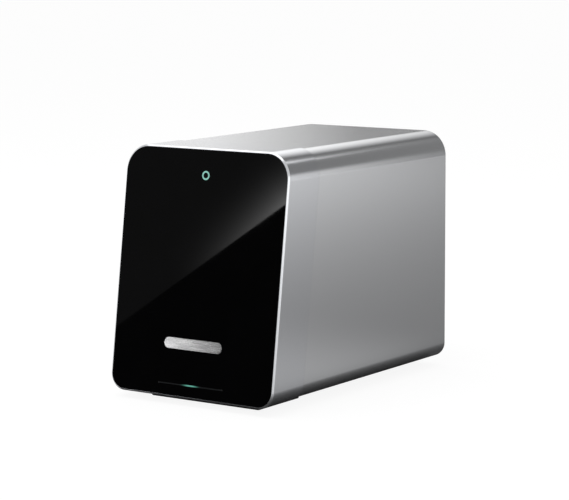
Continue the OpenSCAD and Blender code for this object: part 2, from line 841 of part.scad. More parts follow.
motor_cap = 7;
motor_cap_r = 2;
motor_step = 0.5;
pilot_l = 1.5;
journal_l = 20;
module stepper_motor() color([0.1, 0.1, 0.11]) {
    core_side = motor_side - 2 * motor_step;
    difference() {
        union() {
            for (y = [motor_front, motor_back - motor_cap]) along_y(y, y + motor_cap, screw_z)
                rounded_rect(motor_side, motor_side, motor_cap_r);
            along_y(motor_front + motor_cap - eps, motor_back - motor_cap + eps, screw_z)
                rounded_rect(core_side, core_side, motor_cap_r + 2 * motor_step);
            shaft_y(pilot_d - fit_gap / 2, motor_front - pilot_l, pilot_l + motor_step, 0, screw_z);
        }
        shaft_y(journal_d + 2 * run_gap, motor_front - 2 * pilot_l, journal_l + motor_gap, 0, screw_z);
        motor_screw_places() rotate([-90, 0, 0])
            cylinder(d = m2 + 2 * tap_gap, h = bearer_t + motor_grip + 1);
    }
}

screw_shoulder = 1;
journal_d = screw_d - 2 * screw_shoulder;
screw_play = 0.5;
screw_end = 2.5;
module lead_screw() color([0.75, 0.76, 0.78]) {
    thread_l = rear_bearer_y + bearer_t - screw_end - bearer_back - screw_play;
    shaft_y(journal_d, bearer_back - bearer_t, bearer_t + 2 * screw_play, 0, screw_z);
    shaft_y(screw_d, bearer_back + screw_play, thread_l, 0, screw_z);
    shaft_y(journal_d, motor_front - 2 * motor_gap, journal_l, 0, screw_z);
}

module guide_rods() color([0.8, 0.81, 0.83]) {
    rod_l = rear_bearer_y + 2 * bearer_t - bearer_back;
    for (x = [-1, 1]) shaft_y(rod_d, bearer_back - bearer_t, rod_l, x * rod_span / 2, tray_z);
}

// Plate drawer

module drawer_front() color([0.8, 0.8, 0.81]) {
    intersection() {
        pull_prism(0, front_y - bezel_d, front_y + bezel_d);
        raked_slab(pull_back, -panel_sink + pull_proud);
    }
}

notch_d = 7;
tray_grip = 6;
module plate_tray() color([0.07, 0.07, 0.08]) {
    difference() {
        intersection() {
            box([-tray_w / 2, tray_w / 2], [front_y, carriage_y], [tray_z - tray_h / 2, tray_top]);
            raked_slab(-far / 2, pull_back);
        }
        box([-well_w / 2, well_w / 2], [well_y, well_y + well_l], [well_floor, tray_top + 1]);
        for (x = [-1, 1]) translate([x * well_w / 2, well_y + well_l / 2, well_floor])
            cylinder(d = notch_d, h = well_depth + 1);
        magnet_places() translate([0, 0, -magnet_h]) cylinder(d = magnet_d + fit_slack, h = magnet_h + 1);
        tray_screw_places() rotate([90, 0, 0]) cylinder(d = m2 + 2 * tap_gap, h = tray_grip + 2);
    }
}

magnet_h = 1.2;
module magnet_places() {
    for (y = [0.3, 0.7]) translate([0, well_y + well_l * y, well_floor]) children();
}

module tray_magnets() color("silver") {
    magnet_places() translate([0, 0, -magnet_h]) cylinder(d = magnet_d, h = magnet_h);
}

// Places on the carriage's front face where screws enter the tray
module tray_screw_places() {
    for (x = [-1, 1]) translate([x * tray_w / 4, carriage_y, tray_z]) children();
}

module tray_screws() color("gray") {
    tray_screw_places() translate([0, carriage_l, 0]) rotate([-90, 0, 0])
        cap_screw(m2, carriage_l + tray_grip);
}

nut_d = 10;
nut_floor = 2;
nut_side = 4;
bush_wall = 1.5;
eye_wall = 3;
module carriage() color([0.6, 0.61, 0.63]) {
    low = screw_z - nut_d / 2 - nut_floor;
    lobe = carriage_bush_d + 2 * eye_wall;
    difference() {
        union() {
            box([-rod_span / 2, rod_span / 2], [carriage_y, carriage_back], [tray_z - tray_h / 2, tray_top]);
            box([-nut_d / 2 - nut_side, nut_d / 2 + nut_side], [carriage_y, carriage_back], [low, tray_z]);
            for (x = [-1, 1]) shaft_y(lobe, carriage_y, carriage_l, x * rod_span / 2, tray_z);
        }
        for (x = [-1, 1])
            shaft_y(carriage_bush_d + fit_slack, carriage_y - 1, carriage_l + 2, x * rod_span / 2, tray_z);
        shaft_y(nut_d + fit_slack, carriage_y - 1, carriage_l + 2, 0, screw_z);
        tray_screw_places() rotate([-90, 0, 0]) translate([0, 0, -1])
            cylinder(d = m2 + 2 * hole_gap, h = carriage_l + 2);
    }
}

carriage_bush_d = rod_d + 2 * bush_wall;
module carriage_bushes() color([0.72, 0.55, 0.25]) {
    for (x = [-1, 1]) translate([x * rod_span / 2, carriage_y, tray_z]) rotate([-90, 0, 0])
        tube(carriage_bush_d, rod_d + 2 * run_gap, carriage_l);
}

nut_short = 2;
nut_rim = 2.5;
nut_rim_t = 1.5;
module screw_nut() color([0.75, 0.6, 0.3]) {
    translate([0, carriage_y, screw_z]) rotate([-90, 0, 0]) difference() {
        union() {
            cylinder(d = nut_d, h = carriage_l - nut_short);
            translate([0, 0, -nut_rim_t]) cylinder(d = nut_d + 2 * nut_rim, h = nut_rim_t);
        }
        translate([0, 0, -2 * nut_rim_t]) cylinder(d = screw_d + 2 * run_gap, h = carriage_l + 4 * nut_rim_t);
    }
}

// Optics deck and what it carries

post_tap_l = 8;
module deck_posts() color([0.75, 0.7, 0.5]) {
    for (x = [-1, 1], y = post_ys) translate([x * post_x, y, 0]) difference() {
        union() {
            translate([0, 0, chassis_top]) cylinder(d = post_d, h = deck_up, $fn = 6);
            translate([0, 0, chassis_z]) cylinder(d = m3, h = chassis_t + eps);
        }
        translate([0, 0, deck_z - post_tap_l]) cylinder(d = m3 + 2 * tap_gap, h = post_tap_l + 1);
    }
}

slot_l = 12;
slot_front = 4;
slot_side = 1.5;
module optics_deck() color([0.5, 0.51, 0.53]) {
    difference() {
        box([-deck_w / 2, deck_w / 2], [deck_y, deck_y + deck_l], [deck_z, deck_top]);
        box([-guide_w / 2 - slot_side, guide_w / 2 + slot_side],
            [scan_y - slot_front, scan_y - slot_front + slot_l], [deck_z - 1, deck_top + 1]);
        for (x = [-1, 1], y = post_ys) translate([x * post_x, y, deck_z - 1])
            cylinder(d = m3 + 2 * hole_gap, h = deck_t + 2);
    }
}

deck_grip = 6;
module deck_screws() color("gray") {
    for (x = [-1, 1], y = post_ys) translate([x * post_x, y, deck_top]) cap_screw(m3, deck_t + deck_grip);
}

wheel_h = 6;
rotor_h = 3;
rotor_gap = 0.5;
rotor_in = 6;
base_w = 36;
base_t = 3;
base_r = 4;
can_in = 5;
spindle_floor = 1;
spindle_l = 6;
hub_wall = 2;
hub_over = 2;
module wheel_motor() color([0.12, 0.12, 0.13]) {
    top = beam_z - wheel_h / 2 - rotor_h - rotor_gap;
    difference() {
        union() {
            translate([0, wheel_y, deck_top]) linear_extrude(base_t) rounded_rect(base_w, base_w, base_r);
            translate([0, wheel_y, deck_top + base_t - eps])
                cylinder(d = base_w - 2 * can_in, h = top - deck_top - base_t + eps);
        }
        translate([0, wheel_y, deck_top + base_t + spindle_floor])
            cylinder(d = spindle_d + 2 * run_gap, h = far / 8);
    }
}

spindle_d = 4;
module wheel_rotor() color([0.78, 0.78, 0.8]) {
    translate([0, wheel_y, beam_z - wheel_h / 2]) {
        translate([0, 0, -rotor_h]) cylinder(d = base_w - 2 * rotor_in, h = rotor_h);
        translate([0, 0, -rotor_h - spindle_l]) cylinder(d = spindle_d, h = spindle_l + eps);
        cylinder(d = spindle_d + 2 * hub_wall, h = wheel_h + hub_over);
    }
}

module mirror_wheel() color([0.85, 0.87, 0.9]) {
    translate([0, wheel_y, beam_z - wheel_h / 2]) difference() {
        cylinder(d = wheel_w / cos(22.5), h = wheel_h, $fn = 8);
        translate([0, 0, -1]) cylinder(d = spindle_d + 2 * hub_wall + fit_slack, h = wheel_h + 2);
    }
}

laser_d = 12;
laser_l = 28;
laser_gap = 8;
laser_bore = 5;
laser_bore_l = 2;
laser_x = wheel_w / 2 + laser_gap;
module laser_module() color([0.7, 0.58, 0.3]) {
    difference() {
        shaft_x(laser_d, laser_x, laser_l, wheel_y, beam_z);
        shaft_x(laser_bore, laser_x - 1, laser_bore_l + 1, wheel_y, beam_z);
    }
}

clamp_set = 6;
clamp_l = 16;
clamp_wall = 3;
clamp_slit = 1.2;
module laser_clamp() color([0.15, 0.15, 0.16]) {
    reach = laser_d / 2 + clamp_wall;
    difference() {
        box([laser_x + clamp_set, laser_x + clamp_set + clamp_l], [wheel_y - reach, wheel_y + reach],
            [deck_top, beam_z + reach]);
        shaft_x(laser_d + fit_slack, laser_x, laser_l + clamp_l, wheel_y, beam_z);
        box([laser_x + clamp_set - 1, laser_x + clamp_set + clamp_l + 1],
            [wheel_y - clamp_slit / 2, wheel_y + clamp_slit / 2], [beam_z, beam_z + reach + 1]);
    }
}

lens_h = 12;
lens_t = 10;
lens_r = 60;
module scan_lens() color([0.8, 0.9, 0.95, 0.5]) {
    intersection() {
        box([-lens_w / 2, lens_w / 2], [lens_y - lens_t / 2, lens_y + lens_t / 2],
            [beam_z - lens_h / 2, beam_z + lens_h / 2]);
        translate([0, lens_y - lens_t / 2 + lens_r, beam_z - lens_h])
            cylinder(r = lens_r, h = 2 * lens_h, $fn = 128);
    }
}

lens_foot_in = 8;
lens_foot_front = 3;
lens_foot_back = 6;
lens_cheek_t = 4;
lens_cheek_front = 1;
module lens_mount() color([0.15, 0.15, 0.16]) {
    box([-lens_w / 2 + lens_foot_in, lens_w / 2 - lens_foot_in],
        [lens_y - lens_foot_front, lens_y + lens_foot_back], [deck_top, beam_z - lens_h / 2]);
    for (x = [-1, 1]) translate([x * (lens_w + lens_cheek_t) / 2, 0, 0])
        box([-lens_cheek_t / 2 + fit_gap / 10, lens_cheek_t / 2],
            [lens_y - lens_cheek_front, lens_y + lens_t / 2], [deck_top, beam_z + lens_h / 2]);
}

mirror_l = 48;
mirror_w = 12;
mirror_t = 2;
module fold_mirror() color([0.85, 0.87, 0.9]) {
    translate([0, scan_y, beam_z]) rotate([45, 0, 0]) translate([-mirror_l / 2, -mirror_w / 2, 0])
        cube([mirror_l, mirror_w, mirror_t]);
}

cheek_t = 3;
cheek_front = 9;
cheek_back = 2.5;
cheek_over = 8;
cheek_foot_w = 6;
cheek_foot_t = 1.5;
module mirror_bracket() color([0.15, 0.15, 0.16]) {
    for (x = [-1, 1]) translate([x * (mirror_l + cheek_t) / 2, 0, 0])
        box([-cheek_t / 2 + fit_gap / 10, cheek_t / 2], [scan_y - cheek_front, scan_y + cheek_back],
            [deck_top, beam_z + cheek_over]);
    for (x = [-1, 1]) translate([x * (mirror_l + cheek_foot_w) / 2, 0, 0])
        box([-cheek_foot_w / 2 + fit_gap / 10, cheek_foot_w / 2], [scan_y - cheek_front, scan_y + cheek_back],
            [deck_top, deck_top + cheek_foot_t]);
}

guide_gap = 1.1;
guide_ear = 5;
guide_over = 1.6;
module light_guide() color([0.85, 0.93, 0.95, 0.6]) {
    low = tray_z + pull_h / 2 + guide_gap;
    box([-guide_w / 2, guide_w / 2], [guide_y, guide_y + guide_t], [low, deck_top + guide_over]);
    for (x = [-1, 1]) translate([x * (guide_w + guide_ear) / 2, 0, 0])
        box([-guide_ear / 2 - eps, guide_ear / 2 + eps], [guide_y, guide_y + guide_t],
            [deck_top, deck_top + guide_over]);
}

tube_l = 54;
tube_cap_l = 4;
tube_cap_in = 1.5;
module photomultiplier() color([0.75, 0.77, 0.8]) {
    shaft_x(tube_d, -tube_l / 2, tube_l, tube_y, tube_z);
    shaft_x(tube_d - 2 * tube_cap_in, tube_l / 2 - eps, tube_cap_l, tube_y, tube_z);
}

saddle_t = 4;
saddle_front = 4.5;
saddle_back = 3;
module tube_saddles() color([0.15, 0.15, 0.16]) {
    for (x = [-1, 1]) difference() {
        box([x * tube_l / 3 - saddle_t / 2, x * tube_l / 3 + saddle_t / 2],
            [tube_y - tube_d / 2 + saddle_front, tube_y + tube_d / 2 + saddle_back], [deck_top, tube_z]);
        shaft_x(tube_d + fit_slack, -tube_l, 2 * tube_l, tube_y, tube_z);
    }
}

erase_set = 14;
erase_w = 9;
erase_y = scan_y + erase_set;
module erase_board() color([0.9, 0.9, 0.88]) {
    box([-guide_w / 2, guide_w / 2], [erase_y, erase_y + erase_w], [deck_z - board_t, deck_z]);
}

erase_lamp_w = 3.5;
erase_lamp_h = 1.5;
module erase_lamps() color([0.95, 0.95, 0.8]) {
    count = 6;
    for (i = [0:count - 1]) translate([(i - (count - 1) / 2) * guide_w / count, erase_y + erase_w / 2, 0])
        translate([-erase_lamp_w / 2, -erase_lamp_w / 2, deck_z - board_t - erase_lamp_h])
        cube([erase_lamp_w, erase_lamp_w, erase_lamp_h]);
}

supply_w = 40;
supply_x = -2;
supply_l = 11;
supply_h = 24;
supply_gap = 2;
module tube_supply() color([0.6, 0.62, 0.6]) {
    y = wheel_y + base_w / 2 + supply_gap;
    box([supply_x - supply_w / 2, supply_x + supply_w / 2], [y, y + supply_l],
        [deck_top, deck_top + supply_h]);
}

bracket_t = 1.5;
bracket_foot = 12;
bracket_over = 8;
board_in = 5;
board_low = 10;
module board_bracket() color([0.7, 0.71, 0.72]) {
    difference() {
        union() {
            box([board_x, board_x + bracket_t], [board_y, board_y + board_l],
                [deck_top, deck_top + board_h + bracket_over]);
            box([board_x, board_x + bracket_foot], [board_y, board_y + board_l],
                [deck_top, deck_top + bracket_t]);
        }
        board_screw_places() shaft_x(m3 + 2 * tap_gap, -bracket_t - 1, bracket_t + 2);
    }
}

// Places on the bracket's inner side where the main board is held
module board_screw_places() {
    for (y = [board_in, board_l - board_in], z = [board_low, board_h])
        translate([board_x + bracket_t, board_y + y, deck_top + z]) children();
}

spacer_d = 5;
stud_over = 1.2;
module board_spacers() color([0.8, 0.75, 0.5]) {
    board_screw_places() {
        rotate([0, 90, 0]) cylinder(d = spacer_d, h = board_stand, $fn = 6);
        shaft_x(m3, -bracket_t, bracket_t + eps);
        shaft_x(m3, board_stand - eps, board_t + stud_over);
    }
}

board_lift = 4;
board_over = 6;
module main_board() color([0.05, 0.3, 0.15]) {
    x = board_x + bracket_t + board_stand;
    difference() {
        box([x, x + board_t], [board_y, board_y + board_l],
            [deck_top + board_lift, deck_top + board_h + board_over]);
        board_screw_places() shaft_x(m3 + 2 * tap_gap, board_stand - 1, board_t + 2);
    }
}

cap_d = 7;
cap_l = 10;
cap_set = 34;
cap_pitch = 12;
cap_drop = 2;
module board_chips() color([0.06, 0.06, 0.06]) {
    x = board_x + bracket_t + board_stand + board_t;
    // Place along and up the board, then length, height and thickness
    chips = [
        [12, 30, 16, 16, 1.6], [36, 34, 10, 14, 1.2], [54, 24, 14, 10, 1.2],
        [14, 12, 22, 7, 6], [44, 12, 18, 6, 6]
    ];
    for (c = chips) translate([x, board_y + c[0], deck_top + c[1]]) cube([c[4], c[2], c[3]]);
    for (i = [0:2])
        shaft_x(cap_d, x, cap_l, board_y + cap_set + i * cap_pitch, deck_top + board_h - cap_drop);
}

front_bezel();
joining_frame();
front_panel();
panel_tape();
ring_window();
ring_light_block();
indicator_board();
bar_window();
bar_light_board();
slot_seal();
housing_sleeve();
bezel_screws();
rear_panel();
rear_panel_screws();
dc_inlet();
usb_socket();
usb_tongue();
switch_housing();
power_rocker();
front_foot();
rear_foot();
foot_screws();
chassis_base();
drawer_front();
plate_tray();
tray_magnets();
tray_screws();
carriage();
carriage_bushes();
screw_nut();
lead_screw();
screw_bush();
stepper_motor();
motor_screws();
guide_rods();
front_bearer();
rear_bearer();
bearer_screws();
deck_posts();
optics_deck();
deck_screws();
wheel_motor();
wheel_rotor();
mirror_wheel();
laser_module();
laser_clamp();
scan_lens();
lens_mount();
fold_mirror();
mirror_bracket();
light_guide();
photomultiplier();
tube_saddles();
erase_board();
erase_lamps();
tube_supply();
board_bracket();
main_board();
board_spacers();
board_chips();
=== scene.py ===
"""Looks of a desktop scanner for small phosphor imaging plates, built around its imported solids."""

import json
import logging
import math
from dataclasses import dataclass, field
from enum import Enum

import bmesh
import bpy
from mathutils import Matrix, Vector


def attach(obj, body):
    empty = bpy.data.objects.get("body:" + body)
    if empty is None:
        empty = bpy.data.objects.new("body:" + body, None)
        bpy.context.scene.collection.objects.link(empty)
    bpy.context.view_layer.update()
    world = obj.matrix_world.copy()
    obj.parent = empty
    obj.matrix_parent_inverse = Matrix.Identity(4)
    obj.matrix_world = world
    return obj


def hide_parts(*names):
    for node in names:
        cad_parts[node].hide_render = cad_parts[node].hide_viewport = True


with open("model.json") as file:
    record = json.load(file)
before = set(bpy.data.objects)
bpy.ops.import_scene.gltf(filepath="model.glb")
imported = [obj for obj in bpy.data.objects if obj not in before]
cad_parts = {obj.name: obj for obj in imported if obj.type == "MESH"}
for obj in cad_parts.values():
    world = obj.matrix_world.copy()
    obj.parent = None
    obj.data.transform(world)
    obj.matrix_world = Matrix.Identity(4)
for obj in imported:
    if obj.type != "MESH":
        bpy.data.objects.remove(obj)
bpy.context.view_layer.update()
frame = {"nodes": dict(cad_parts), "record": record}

LOG = logging.getLogger("scanner")
MM = 0.001
# A length that is too small to see, in millimetres
SLIVER = 0.002
# How far a shape that cuts or joins another runs past it or into it, in millimetres
PAST = 1.0
LAP = 0.01
# How rings with one middle are drawn apart while they are joined, in millimetres
APART = Vector((0.0, 10.0, 7.0))

Ring = list[bmesh.types.BMEdge]
Pair = tuple[float, float]
Triple = tuple[float, float, float]
Colour = Triple
Socket = bpy.types.NodeSocket
Input = Socket | float | tuple[float, ...]


class Body(Enum):
    """The bodies that pieces ride on."""

    CASE = "case"
    DRAWER = "drawer"
    ROCKER = "rocker"


class Cut(Enum):
    """How one shape is combined with another."""

    TAKE_AWAY = "DIFFERENCE"
    ADD = "UNION"


class Slope(Enum):
    """How a value runs from the low to the high end of a range."""

    SOFT = "SMOOTHSTEP"
    EVEN = "LINEAR"


# Finishes


@dataclass(frozen=True)
class Wires:
    """The nodes of one material or of the surroundings."""

    tree: bpy.types.NodeTree

    def add(self, kind: str, inputs: dict[str | int, Input], **settings: str) -> bpy.types.Node:
        """Add a node.

        Args:
            kind: The node's type.
            inputs: For each input, the socket that is joined to it or the constant that it holds.
            settings: The node's own settings.

        Returns:
            The node.
        """
        node = self.tree.nodes.new("ShaderNode" + kind)
        for name, setting in settings.items():
            setattr(node, name, setting)
        self.join(node, inputs)
        return node

    def join(self, node: bpy.types.Node, inputs: dict[str | int, Input]) -> None:
        """Join sockets to a node's inputs, or set constants on them.

        Args:
            node: The node.
            inputs: For each input, the socket or the constant.
        """
        for name, value in inputs.items():
            if isinstance(value, Socket):
                self.tree.links.new(value, node.inputs[name])
            else:
                node.inputs[name].default_value = value

    def show(self, shader: bpy.types.Node) -> None:
        """Make a shader the material's surface."""
        self.join(self.tree.nodes["Material Output"], {"Surface": shader.outputs[0]})

    def place(self) -> Socket:
        """Object coordinates."""
        return self.add("TexCoord", {}).outputs["Object"]

    def side(self, along: str) -> Socket:
        """One of the object coordinates, X, Y or Z."""
        return self.add("SeparateXYZ", {"Vector": self.place()}).outputs[along]

    def ray(self, kind: str) -> Socket:
        """Whether a ray is of a kind, such as Is Camera Ray."""
        return self.add("LightPath", {}).outputs[kind]

    def moved(self, scale: Triple, shift: Triple = (0.0, 0.0, 0.0)) -> Socket:
        """Object coordinates, first scaled and then shifted."""
        inputs = {"Vector": self.place(), "Scale": scale, "Location": shift}
        return self.add("Mapping", inputs).outputs["Vector"]

    def math(self, operation: str, *values: Input) -> Socket:
        """Result of an operation on numbers."""
        return self.add("Math", dict(enumerate(values)), operation=operation).outputs[0]

    def noise(self, grain: Triple, detail: float) -> Socket:
        """Value of a noise with a fineness along each axis and a number of octaves."""
        inputs = {"Vector": self.moved(grain), "Scale": 1.0, "Detail": detail}
        return self.add("TexNoise", inputs).outputs["Fac"]

    def blend(self, share: Socket, first: Input, second: Input) -> Socket:
        """Mix of two colours by the share of the second."""
        return self.add("Mix", {"Factor": share, "A": first, "B": second}, data_type="RGBA").outputs["Result"]

    def spread(self, value: Socket, low: float, high: float, start: float = 0.3, stop: float = 0.7,
               slope: Slope = Slope.SOFT) -> Socket:
        """Map a value from one range to another.

        Args:
            value: The socket to map.
            low: Result at the start of the range.
            high: Result at the end of the range.
            start: Value that gives the low result.
            stop: Value that gives the high result.
            slope: How the result runs between them.

        Returns:
            The mapped value's socket.
        """
        inputs = {"Value": value, "From Min": start, "From Max": stop, "To Min": low, "To Max": high}
        return self.add("MapRange", inputs, interpolation_type=slope.value).outputs["Result"]


def opaque(colour: Colour) -> tuple[float, ...]:
    """A colour with full cover."""
    return (*colour, 1.0)


@dataclass(frozen=True)
class Finish:
    """A surface whose tone, gloss and relief follow one stretched noise.

    Grain is the noise's fineness along X, Y and Z, in cells a metre, and relief is its depth in metres.
    """

    slot: str
    dark: Colour
    light: Colour
    rough: Pair
    metallic: float = 0.0
    grain: Triple = (1500.0, 1500.0, 1500.0)
    detail: float = 3.0
    relief: float = 0.0
    sheen_level: float = 0.5

    @property
    def name(self) -> str:
        """Name of the material."""
        return f"{self.slot}_{type(self).__name__.lower()}"

    def material(self) -> bpy.types.Material:
        """Make the material, or return it if it is there already.

        Returns:
            The node material of this finish.
        """
        found = bpy.data.materials.get(self.name)
        if found:
            return found
        made = bpy.data.materials.new(self.name)
        made.use_nodes = True
        self.wire(Wires(made.node_tree), made.node_tree.nodes["Principled BSDF"])
        return made

    def wire(self, wires: Wires, shader: bpy.types.ShaderNode) -> None:
        """Join the noise to the shader's colour, gloss and relief.

        Args:
            wires: The material's nodes.
            shader: Its principled shader.
        """
        value = wires.noise(self.grain, self.detail)
        tone = wires.blend(wires.spread(value, 0.0, 1.0), opaque(self.dark), opaque(self.light))
        wires.join(shader, {"Metallic": self.metallic, "Specular IOR Level": self.sheen_level,
                            "Base Color": tone, "Roughness": wires.spread(value, *self.rough)})
        if self.relief:
            bump = wires.add("Bump", {"Strength": 1.0, "Distance": self.relief, "Height": value})
            wires.join(shader, {"Normal": bump.outputs["Normal"]})


@dataclass(frozen=True)
class BrushedFinish(Finish):
    """Metal brushed along X, which spreads its reflections across the brushing.

    Stretch is the share of that spread, from 0 to 1.
    """

    stretch: float = 0.9

    def wire(self, wires: Wires, shader: bpy.types.ShaderNode) -> None:
        """Add the spread to the common noise.

        Args:
            wires: The material's nodes.
            shader: Its principled shader.
        """
        super().wire(wires, shader)
        across = wires.add("Tangent", {}, direction_type="RADIAL", axis="X")
        wires.join(shader, {"Anisotropic": self.stretch, "Tangent": across.outputs["Tangent"]})


@dataclass(frozen=True)
class BoardFinish(Finish):
    """Solder resist with fine tracks that show through it as a slightly lighter green.

    Fineness is the tracks' number in a metre, and track the share of it that a track takes.
    """

    fineness: float = 225.0
    track: float = 0.06

    def wire(self, wires: Wires, shader: bpy.types.ShaderNode) -> None:
        """Lay the tracks over the common noise.

        Args:
            wires: The material's nodes.
            shader: Its principled shader.
        """
        super().wire(wires, shader)
        turned = wires.add("Mapping", {"Vector": wires.place(), "Rotation": (0.0, math.radians(90), 0.0)})
        field_tone, track_tone = opaque(self.dark), opaque(self.light)
        tracks = wires.add("TexBrick", {
            "Vector": turned.outputs["Vector"], "Scale": self.fineness, "Mortar Size": self.track,
            "Color1": field_tone, "Color2": field_tone, "Mortar": track_tone})
        wires.join(shader, {"Base Color": tracks.outputs["Color"]})


@dataclass(frozen=True)
class GlassFinish(Finish):
    """Clear polished glass or acrylic."""

    index: float = 1.5

    def wire(self, wires: Wires, shader: bpy.types.ShaderNode) -> None:
        """Make the surface clear.

        Args:
            wires: The material's nodes.
            shader: Its principled shader.
        """
        super().wire(wires, shader)
        wires.join(shader, {"Transmission Weight": 1.0, "IOR": self.index})


@dataclass(frozen=True)
class LampFinish(Finish):
    """A window lit from behind, whose light falls off from a middle along X.

    Lit is the half-length of full light and faded the half-length where it ends, both in metres.
    """

    glow: Colour = (0.3, 0.7, 0.6)
    glow_edge: Colour = (0.1, 0.5, 0.4)
    strength: float = 0.6
    lit: float = 0.004
    faded: float = 0.009

    def wire(self, wires: Wires, shader: bpy.types.ShaderNode) -> None:
        """Add the light to the common noise.

        Args:
            wires: The material's nodes.
            shader: Its principled shader.
        """
        super().wire(wires, shader)
        reach = wires.math("ABSOLUTE", wires.side("X"))
        share = wires.spread(reach, 1.0, 0.0, self.lit, self.faded)
        wires.join(shader, {
            "Emission Color": wires.blend(share, opaque(self.glow_edge), opaque(self.glow)),
            "Emission Strength": wires.spread(reach, self.strength, 0.0, self.lit, self.faded)})


@dataclass(frozen=True)
class MarkedFinish(Finish):
    """Plastic with the two usual marks of a power switch, a bar above and a ring below.

    Middle is X and Z between the marks and reach their distance from it, all in metres.
    """

    middle: Pair = (-0.030, 0.0446)
    reach: float = 0.0042
    half: float = 0.0012
    line: float = 0.00022
    ink: Colour = (0.62, 0.62, 0.60)

    def wire(self, wires: Wires, shader: bpy.types.ShaderNode) -> None:
        """Lay the marks over the common noise.

        Args:
            wires: The material's nodes.
            shader: Its principled shader.
        """
        super().wire(wires, shader)
        tone = shader.inputs["Base Color"].links[0].from_socket
        marks = wires.math("MAXIMUM", self.bar(wires), self.ring(wires))
        wires.join(shader, {"Base Color": wires.blend(marks, tone, opaque(self.ink))})

    def away(self, wires: Wires, z: float, keep: Triple) -> Socket:
        """Distance from the middle of a mark.

        Args:
            wires: The material's nodes.
            z: Height of the mark's middle.
            keep: Scale along X, Y and Z, 0 where a direction is left out.

        Returns:
            Socket with the distance.
        """
        around = wires.moved(keep, (-self.middle[0] * keep[0], 0.0, -z * keep[2]))
        return wires.add("VectorMath", {0: around}, operation="LENGTH").outputs["Value"]

    def ring(self, wires: Wires) -> Socket:
        """Share of ink in the lower mark."""
        far = self.away(wires, self.middle[1] - self.reach, (1.0, 0.0, 1.0))
        return wires.math("COMPARE", far, self.half, self.line)

    def bar(self, wires: Wires) -> Socket:
        """Share of ink in the upper mark.

        Args:
            wires: The material's nodes.

        Returns:
            Socket with the share.
        """
        z = self.middle[1] + self.reach
        across = wires.math("LESS_THAN", self.away(wires, z, (1.0, 0.0, 0.0)), self.line)
        along = wires.math("LESS_THAN", self.away(wires, z, (0.0, 0.0, 1.0)), self.half)
        return wires.math("MULTIPLY", across, along)


SATIN = Finish("satin_aluminium", (0.515, 0.521, 0.533), (0.545, 0.551, 0.563), (0.16, 0.19), 1.0,
               (6000.0, 1400.0, 6000.0), 4.0, 0.0000012)
BEZEL_SATIN = Finish("satin_aluminium_bezel", (0.500, 0.508, 0.526), (0.530, 0.538, 0.556), (0.16, 0.19), 1.0,
                     (6000.0, 6000.0, 6000.0), 4.0, 0.0000012)
BRUSHED = BrushedFinish("brushed_aluminium", (0.70, 0.70, 0.705), (0.86, 0.86, 0.865), (0.23, 0.27), 1.0,
                        (80.0, 1.0, 1700.0), 2.0, 0.000004, stretch=1.0)
GLOSS = Finish("black_panel", (0.0006, 0.0006, 0.0008), (0.0010, 0.0010, 0.0013), (0.015, 0.025),
               grain=(60.0, 60.0, 60.0))
RING_GLOW = LampFinish("teal_window", (0.08, 0.16, 0.145), (0.10, 0.19, 0.17), (0.35, 0.45),
                       glow=(0.20, 0.46, 0.385), glow_edge=(0.16, 0.40, 0.33), strength=1.0, lit=0.0,
                       faded=0.03)
BAR_GLOW = LampFinish("smoke_window", (0.018, 0.019, 0.020), (0.023, 0.025, 0.026), (0.05, 0.08),
                      glow=(0.11, 0.38, 0.30), glow_edge=(0.03, 0.20, 0.14), strength=1.0, lit=0.001,
                      faded=0.0078)
RUBBER = Finish("black_rubber", (0.008, 0.008, 0.009), (0.016, 0.016, 0.017), (0.62, 0.8),
                grain=(2500.0,) * 3, relief=0.00003, sheen_level=0.25)
BLACK_PLASTIC = Finish("black_plastic", (0.012, 0.012, 0.013), (0.022, 0.022, 0.024), (0.38, 0.55),
                       grain=(3500.0,) * 3, relief=0.00002)
ROCKER_PLASTIC = MarkedFinish("black_plastic_rocker", (0.012, 0.012, 0.013), (0.020, 0.020, 0.022),
                              (0.3, 0.42), grain=(3500.0,) * 3, relief=0.00001)
WHITE_PLASTIC = Finish("white_plastic", (0.74, 0.74, 0.72), (0.82, 0.82, 0.8), (0.4, 0.5),
                       grain=(900.0,) * 3, relief=0.00001)
TAPE = Finish("black_tape", (0.010, 0.010, 0.010), (0.022, 0.022, 0.022), (0.7, 0.9),
              grain=(4000.0,) * 3, relief=0.00004)
POWDER = Finish("dark_panel", (0.020, 0.0205, 0.022), (0.034, 0.035, 0.037), (0.42, 0.58),
                grain=(1800.0,) * 3, relief=0.00005)
MILLED = Finish("bare_aluminium", (0.50, 0.51, 0.53), (0.66, 0.67, 0.69), (0.28, 0.42), 1.0,
                (5000.0, 160.0, 5000.0), relief=0.000004)
BLACK_ANODISED = Finish("black_aluminium", (0.022, 0.022, 0.024), (0.034, 0.034, 0.037), (0.4, 0.52), 0.3,
                        (4000.0,) * 3, relief=0.00001)
ZINC = Finish("zinc_steel", (0.44, 0.45, 0.47), (0.62, 0.63, 0.64), (0.26, 0.4), 1.0, (1200.0,) * 3)
POLISHED = Finish("polished_steel", (0.62, 0.63, 0.64), (0.74, 0.75, 0.76), (0.1, 0.18), 1.0,
                  (300.0, 6000.0, 300.0))
BRASS = Finish("brass", (0.58, 0.42, 0.17), (0.72, 0.55, 0.26), (0.2, 0.34), 1.0, (2500.0,) * 3)
BOARD = BoardFinish("green_board", (0.012, 0.10, 0.045), (0.025, 0.17, 0.08), (0.3, 0.42), grain=(700.0,) * 3)
GLASS = GlassFinish("clear_glass", (0.86, 0.93, 0.95), (0.90, 0.96, 0.97), (0.01, 0.03), grain=(50.0,) * 3)
MIRROR = Finish("mirror_coat", (0.84, 0.86, 0.88), (0.88, 0.90, 0.92), (0.02, 0.05), 1.0, (80.0,) * 3)

